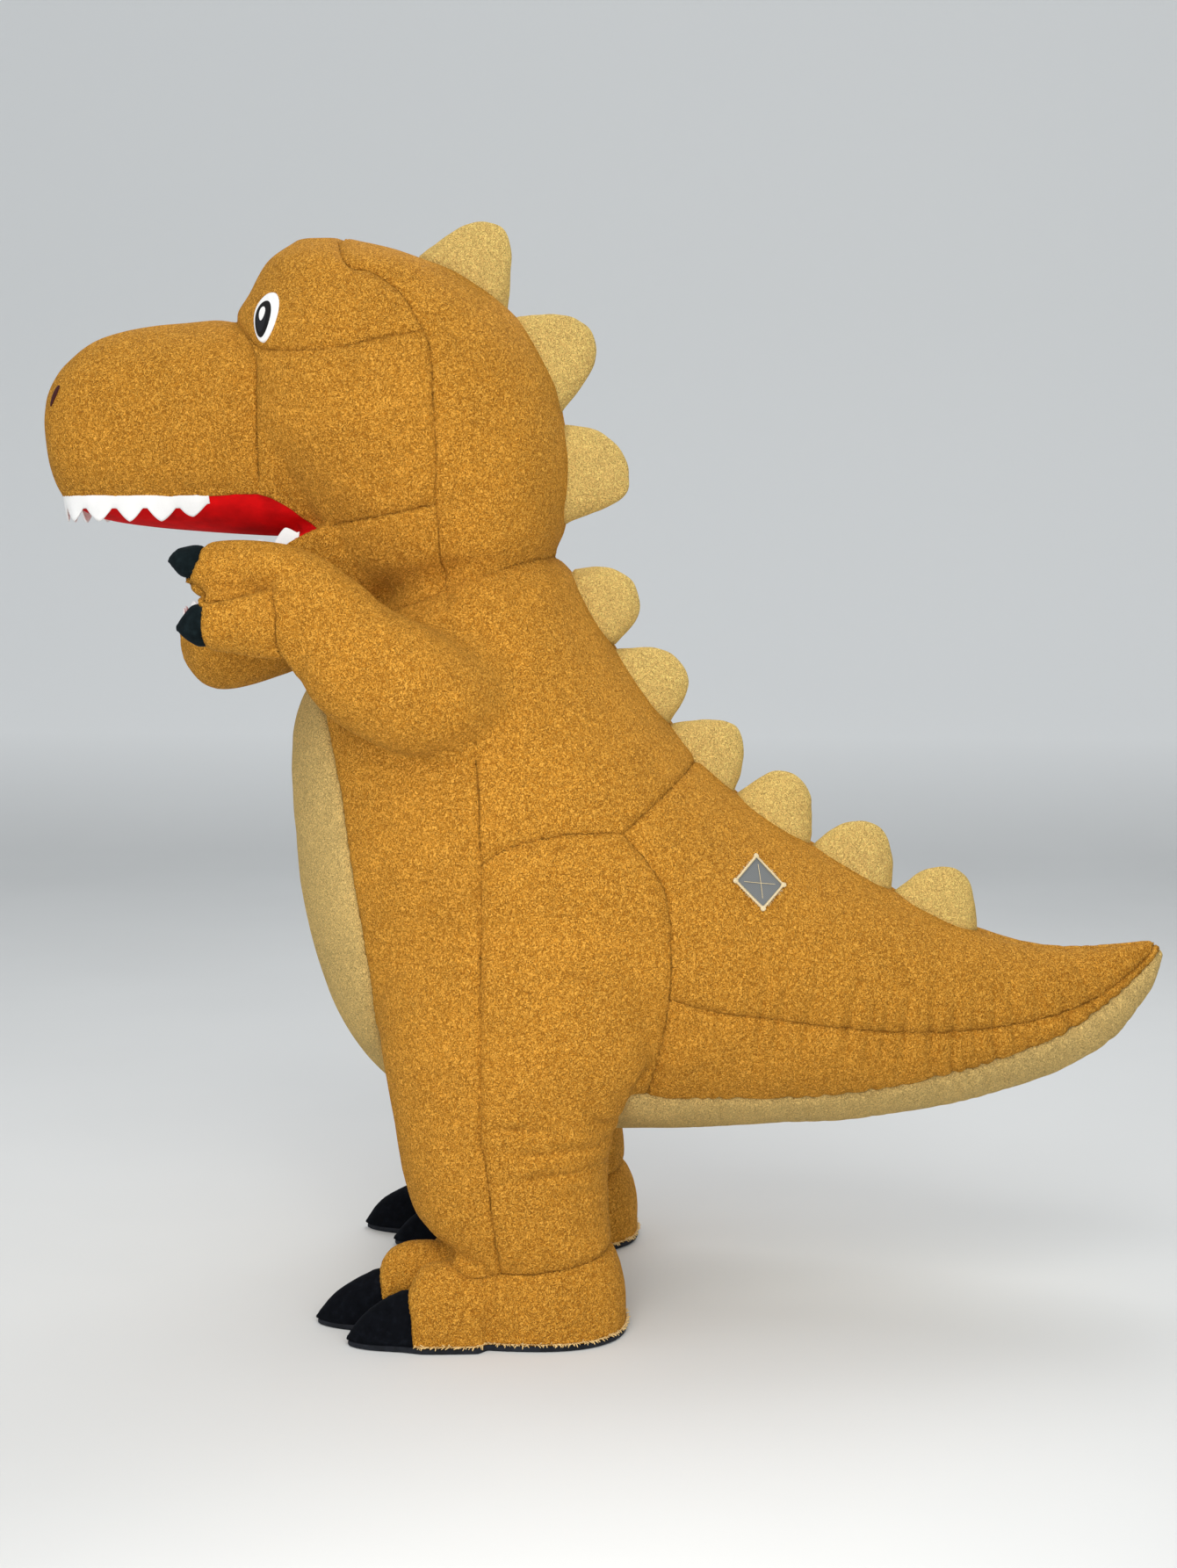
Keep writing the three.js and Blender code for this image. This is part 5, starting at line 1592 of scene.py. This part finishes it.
def footprint(grow):
    """Outline of a foot on the floor, as x and y in metres, grown by a little."""
    forms = body_forms()
    tree = tree_of([forms["foot"]] + [v for k, v in forms.items() if k.startswith("toe_")])
    centre = Vector((0.290, -0.200, 0.020))
    loop = []
    for i in range(220):
        a = 2 * math.pi * i / 220
        way = Vector((math.cos(a), math.sin(a), 0))
        start = centre + way * 0.6
        hit = tree.ray_cast(start, -way)[0]
        if hit is not None:
            hit += way * grow
            loop.append((hit.x, hit.y))
    return np.array(loop)


class COSTUME_OT_soles(Operator):
    """Cuts the black soles and the golden raw edge where the plush meets them"""
    bl_idname = "costume.soles"
    bl_label = "Soles"

    def execute(self, context):
        sizes = context.scene.costume_sizes
        thick = sizes.sole_thickness
        loop = footprint(0.003)
        for _ in range(2):
            loop = 0.5 * loop + 0.25 * (np.roll(loop, 1, 0) + np.roll(loop, -1, 0))
        middle = loop.mean(0)
        levels = [(0.5, 0.0), (0.985, 0.0), (1.0, 0.002), (1.002, thick * 0.5), (1.0, thick - 0.0022),
                  (0.985, thick - 0.0004), (0.5, thick - 0.0004)]
        count = len(loop)
        for side, sign in (("L", 1), ("R", -1)):
            co, faces = [], []
            for f, z in levels:
                ring = middle + (loop - middle) * f
                co.append(np.column_stack([ring[:, 0] * sign, ring[:, 1], np.full(count, z)]))
            co = np.vstack(co + [[(middle[0] * sign, middle[1], 0.0)],
                                 [(middle[0] * sign, middle[1], thick - 0.0004)]])
            for r in range(len(levels) - 1):
                for i in range(count):
                    j = (i + 1) % count
                    faces.append((r * count + i, r * count + j, (r + 1) * count + j, (r + 1) * count + i))
            low, high = len(co) - 2, len(co) - 1
            last = (len(levels) - 1) * count
            for i in range(count):
                j = (i + 1) % count
                faces.append((j, i, low))
                faces.append((last + i, last + j, high))
            mesh = mesh_of("sole", [(co, faces)], 1.0)
            facing_out(mesh)
            obj = bpy.data.objects.new("sole_sheet_" + side, mesh)
            bpy.context.scene.collection.objects.link(obj)
            mesh.materials.append(material("sole"))
            mesh.shade_smooth()
            mesh.set_sharp_from_angle(angle=math.radians(40))
            finish_piece(obj, "black", "sole_" + side)
            self.raw_edge(side, sign, thick)
        return {"FINISHED"}

    def raw_edge(self, side, sign, thick):
        """Golden raw fibres where the plush turns under to the sole, behind the claws."""
        tree = made["skin_tree"]
        points, ways = [], []
        centre = Vector((HEEL[0] * sign, HEEL[1], thick + 0.003))
        for i in range(241):
            a = math.radians(-152 + 304 * i / 240)
            way = Vector((math.sin(a) * sign, math.cos(a), 0))
            hit = tree.ray_cast(centre + way * 0.26, -way)[0]
            if hit is not None and hit.y > CLAWS_END:
                points.append(hit + way * 0.0005)
                ways.append((way.x, way.y, -0.15))
        fringe = threads("raw_edge_" + side, points, ways, False, material("golden"), Spacing=0.0023,
                         Length=0.0078, Radius=0.0013, Spread=0.85, Seed=5)
        finish_piece(fringe, "brown")


# Stage

CAMERA_PLACE = (4.4519, 0.2294, 1.5546)
CAMERA_PITCH = math.radians(6.341)
CAMERA_YAW = math.radians(3.479)
FOCAL_PIXELS = 2452.0
PHOTO_HEIGHT = 1785


# Half width of the floor, where its wall stands, its sweep up to the wall and the wall's height.
FLOOR_HALF, FLOOR_WALL, FLOOR_SWEEP, FLOOR_TOP = 18.0, -8.8, 3.0, 10.0
SKY_TINT, SKY_STRENGTH = (0.93, 0.96, 1.0, 1), 0.66
# Lamps: name, place, width, power and tint.
LAMPS = (("key", (3.4, -0.5, 4.6), 3.0, 102.0, (1.0, 0.98, 0.95)),
         ("front", (2.3, 0.0, 1.15), 0.9, 19.0, (1.0, 0.97, 0.92)),
         ("chest", (1.6, -3.6, 2.0), 1.6, 14.0, (1.0, 0.98, 0.95)),
         ("fill", (4.6, 2.6, 2.4), 3.0, 40.0, (0.96, 0.98, 1.0)),
         ("back", (-2.2, 0.4, 4.4), 2.6, 75.0, (1.0, 1.0, 1.0)))


class COSTUME_OT_stage(Operator):
    """Sets a plain pale floor, soft studio light and a camera at the side"""
    bl_idname = "costume.stage"
    bl_label = "Stage"

    def execute(self, context):
        scene = context.scene
        self.floor(tuple(scene.costume_colours.floor))
        scene.world = bpy.data.worlds.new("Studio")
        scene.world.use_nodes = True
        sky = scene.world.node_tree.nodes["Background"]
        sky.inputs[0].default_value = SKY_TINT
        sky.inputs[1].default_value = SKY_STRENGTH
        for name, place, width, power, tint in LAMPS:
            lamp = bpy.data.lights.new(name, "AREA")
            lamp.size, lamp.energy, lamp.color = width, power, tint
            self.aimed(scene, name, lamp, place, Vector((0, 0, 1.0)) - Vector(place))
        lens = bpy.data.cameras.new("side_camera")
        lens.sensor_fit = "AUTO"
        lens.sensor_width = 36.0
        lens.lens = 36.0 * FOCAL_PIXELS / PHOTO_HEIGHT
        lens.clip_end = 100
        level = math.cos(CAMERA_PITCH)
        ahead = Vector((-math.cos(CAMERA_YAW) * level, -math.sin(CAMERA_YAW) * level,
                        -math.sin(CAMERA_PITCH)))
        scene.camera = self.aimed(scene, "side_camera", lens, CAMERA_PLACE, ahead)
        scene.view_settings.view_transform = "Standard"
        scene.view_settings.look = "None"
        return {"FINISHED"}

    def aimed(self, scene, name, data, place, way):
        """A lamp or camera at a place, looking one way."""
        obj = bpy.data.objects.new(name, data)
        obj.location = place
        obj.rotation_mode = "QUATERNION"
        obj.rotation_quaternion = way.to_track_quat("-Z", "Y")
        scene.collection.objects.link(obj)
        return obj

    def floor(self, colour):
        """Floor with a soft sweep up to a wall far behind."""
        rows = [(9.0, 0.0), (FLOOR_WALL + FLOOR_SWEEP, 0.0)]
        for k in range(1, 13):
            a = math.pi / 2 * k / 12
            rows.append((FLOOR_WALL + FLOOR_SWEEP * (1 - math.sin(a)), FLOOR_SWEEP * (1 - math.cos(a))))
        rows.append((FLOOR_WALL, FLOOR_TOP))
        co = [(x, y, z - 0.0005) for x, z in rows for y in (-FLOOR_HALF, FLOOR_HALF)]
        faces = [(2 * i, 2 * i + 2, 2 * i + 3, 2 * i + 1) for i in range(len(rows) - 1)]
        floor = new_object("pale_floor", co, faces, floor_cloth("Pale floor", colour))
        if floor.data.polygons[0].normal.z < 0:
            floor.data.flip_normals()


# Sizes and colours that a user would change

def length(label, words, value, least):
    return FloatProperty(name=label, description=words, default=value, min=least, unit="LENGTH")


class CostumeSizes(PropertyGroup):
    cloth_grain: length("Cloth grain", "Size of the small faces of the cloth", 0.0075, 0.004)
    cloth_thickness: length("Cloth thickness", "Thickness of plush and lining", 0.003, 0.001)
    seam_depth: length("Seam depth", "How deep a sewn seam pulls in", 0.0055, 0.0)
    seam_width: length("Seam width", "Half width of the dip along a seam", 0.009, 0.002)
    seam_turn: length("Seam turn", "How far the cut edges turn inwards", 0.0030, 0.0)
    seam_allowance: length("Seam allowance", "Cloth turned in past the seam", 0.0015, 0.0005)
    spine_base_half: length("Spine base half thickness", "At the foot of a spine", 0.060, 0.01)
    spine_tip_half: length("Spine tip half thickness", "At the tip of a spine", 0.026, 0.01)
    tooth_pitch: length("Tooth pitch", "Distance from tooth to tooth", 0.068, 0.02)
    tooth_band: length("Tooth band", "Depth of the felt between two teeth", 0.030, 0.005)
    tooth_depth: length("Tooth depth", "Depth of the felt at a tooth's tip", 0.056, 0.01)
    felt_thickness: length("Felt thickness", "Thickness of the tooth felt", 0.003, 0.001)
    sole_thickness: length("Sole thickness", "Thickness of the sole sheet", 0.012, 0.004)
    eye_width: length("Eye width", "Width of the white of an eye", 0.068, 0.02)
    eye_height: length("Eye height", "Height of the white of an eye", 0.102, 0.02)


def swatch(label, words, value):
    return FloatVectorProperty(name=label, description=words, default=value, min=0, max=1, subtype="COLOR")


class CostumeColours(PropertyGroup):
    brown: swatch("Brown", "Ochre brown plush", (0.665, 0.285, 0.027))
    brown_tip: swatch("Brown tips", "Light ends of the brown pile", (1.0, 0.50, 0.080))
    brown_root: swatch("Brown roots", "Dark ground of the brown pile", (0.32, 0.110, 0.008))
    cream: swatch("Cream", "Belly and tail underside plush", (0.84, 0.565, 0.200))
    spine: swatch("Spine cream", "Back spine plush", (0.98, 0.62, 0.190))
    red: swatch("Red", "Mouth lining cloth", (0.62, 0.003, 0.004))
    white: swatch("White", "Tooth and eye felt", (0.84, 0.84, 0.83))
    black: swatch("Black", "Toe claw velvet and soles", (0.0035, 0.0042, 0.0060))
    slate: swatch("Slate", "Hand claw velvet", (0.0060, 0.0105, 0.0120))
    grey: swatch("Grey", "Patch cloth", (0.155, 0.163, 0.163))
    maroon: swatch("Maroon", "Nostril thread", (0.050, 0.006, 0.005))
    floor: swatch("Floor", "Pale floor", (0.66, 0.67, 0.665))


class COSTUME_PT_build(Panel):
    """Lists the build steps, sizes and colours"""
    bl_label = "Dinosaur costume"
    bl_idname = "COSTUME_PT_build"
    bl_space_type = "VIEW_3D"
    bl_region_type = "UI"
    bl_category = "Costume"

    def draw(self, context):
        column = self.layout.column()
        for step in STEPS:
            column.operator(step.bl_idname)
        for group in (context.scene.costume_sizes, context.scene.costume_colours):
            column.separator()
            for name in group.__annotations__:
                column.prop(group, name)


STEPS = (COSTUME_OT_stage, COSTUME_OT_body, COSTUME_OT_spines, COSTUME_OT_teeth, COSTUME_OT_face,
         COSTUME_OT_patch, COSTUME_OT_soles)
CLASSES = (CostumeSizes, CostumeColours, *STEPS, COSTUME_PT_build)


def register():
    for cls in CLASSES:
        bpy.utils.register_class(cls)
    bpy.types.Scene.costume_sizes = PointerProperty(type=CostumeSizes)
    bpy.types.Scene.costume_colours = PointerProperty(type=CostumeColours)


def unregister():
    del bpy.types.Scene.costume_colours
    del bpy.types.Scene.costume_sizes
    for cls in reversed(CLASSES):
        bpy.utils.unregister_class(cls)


def main():
    register()
    for step in STEPS:
        group, name = step.bl_idname.split(".")
        getattr(getattr(bpy.ops, group), name)()
    bpy.context.view_layer.update()


if __name__ == "__main__":
    main()
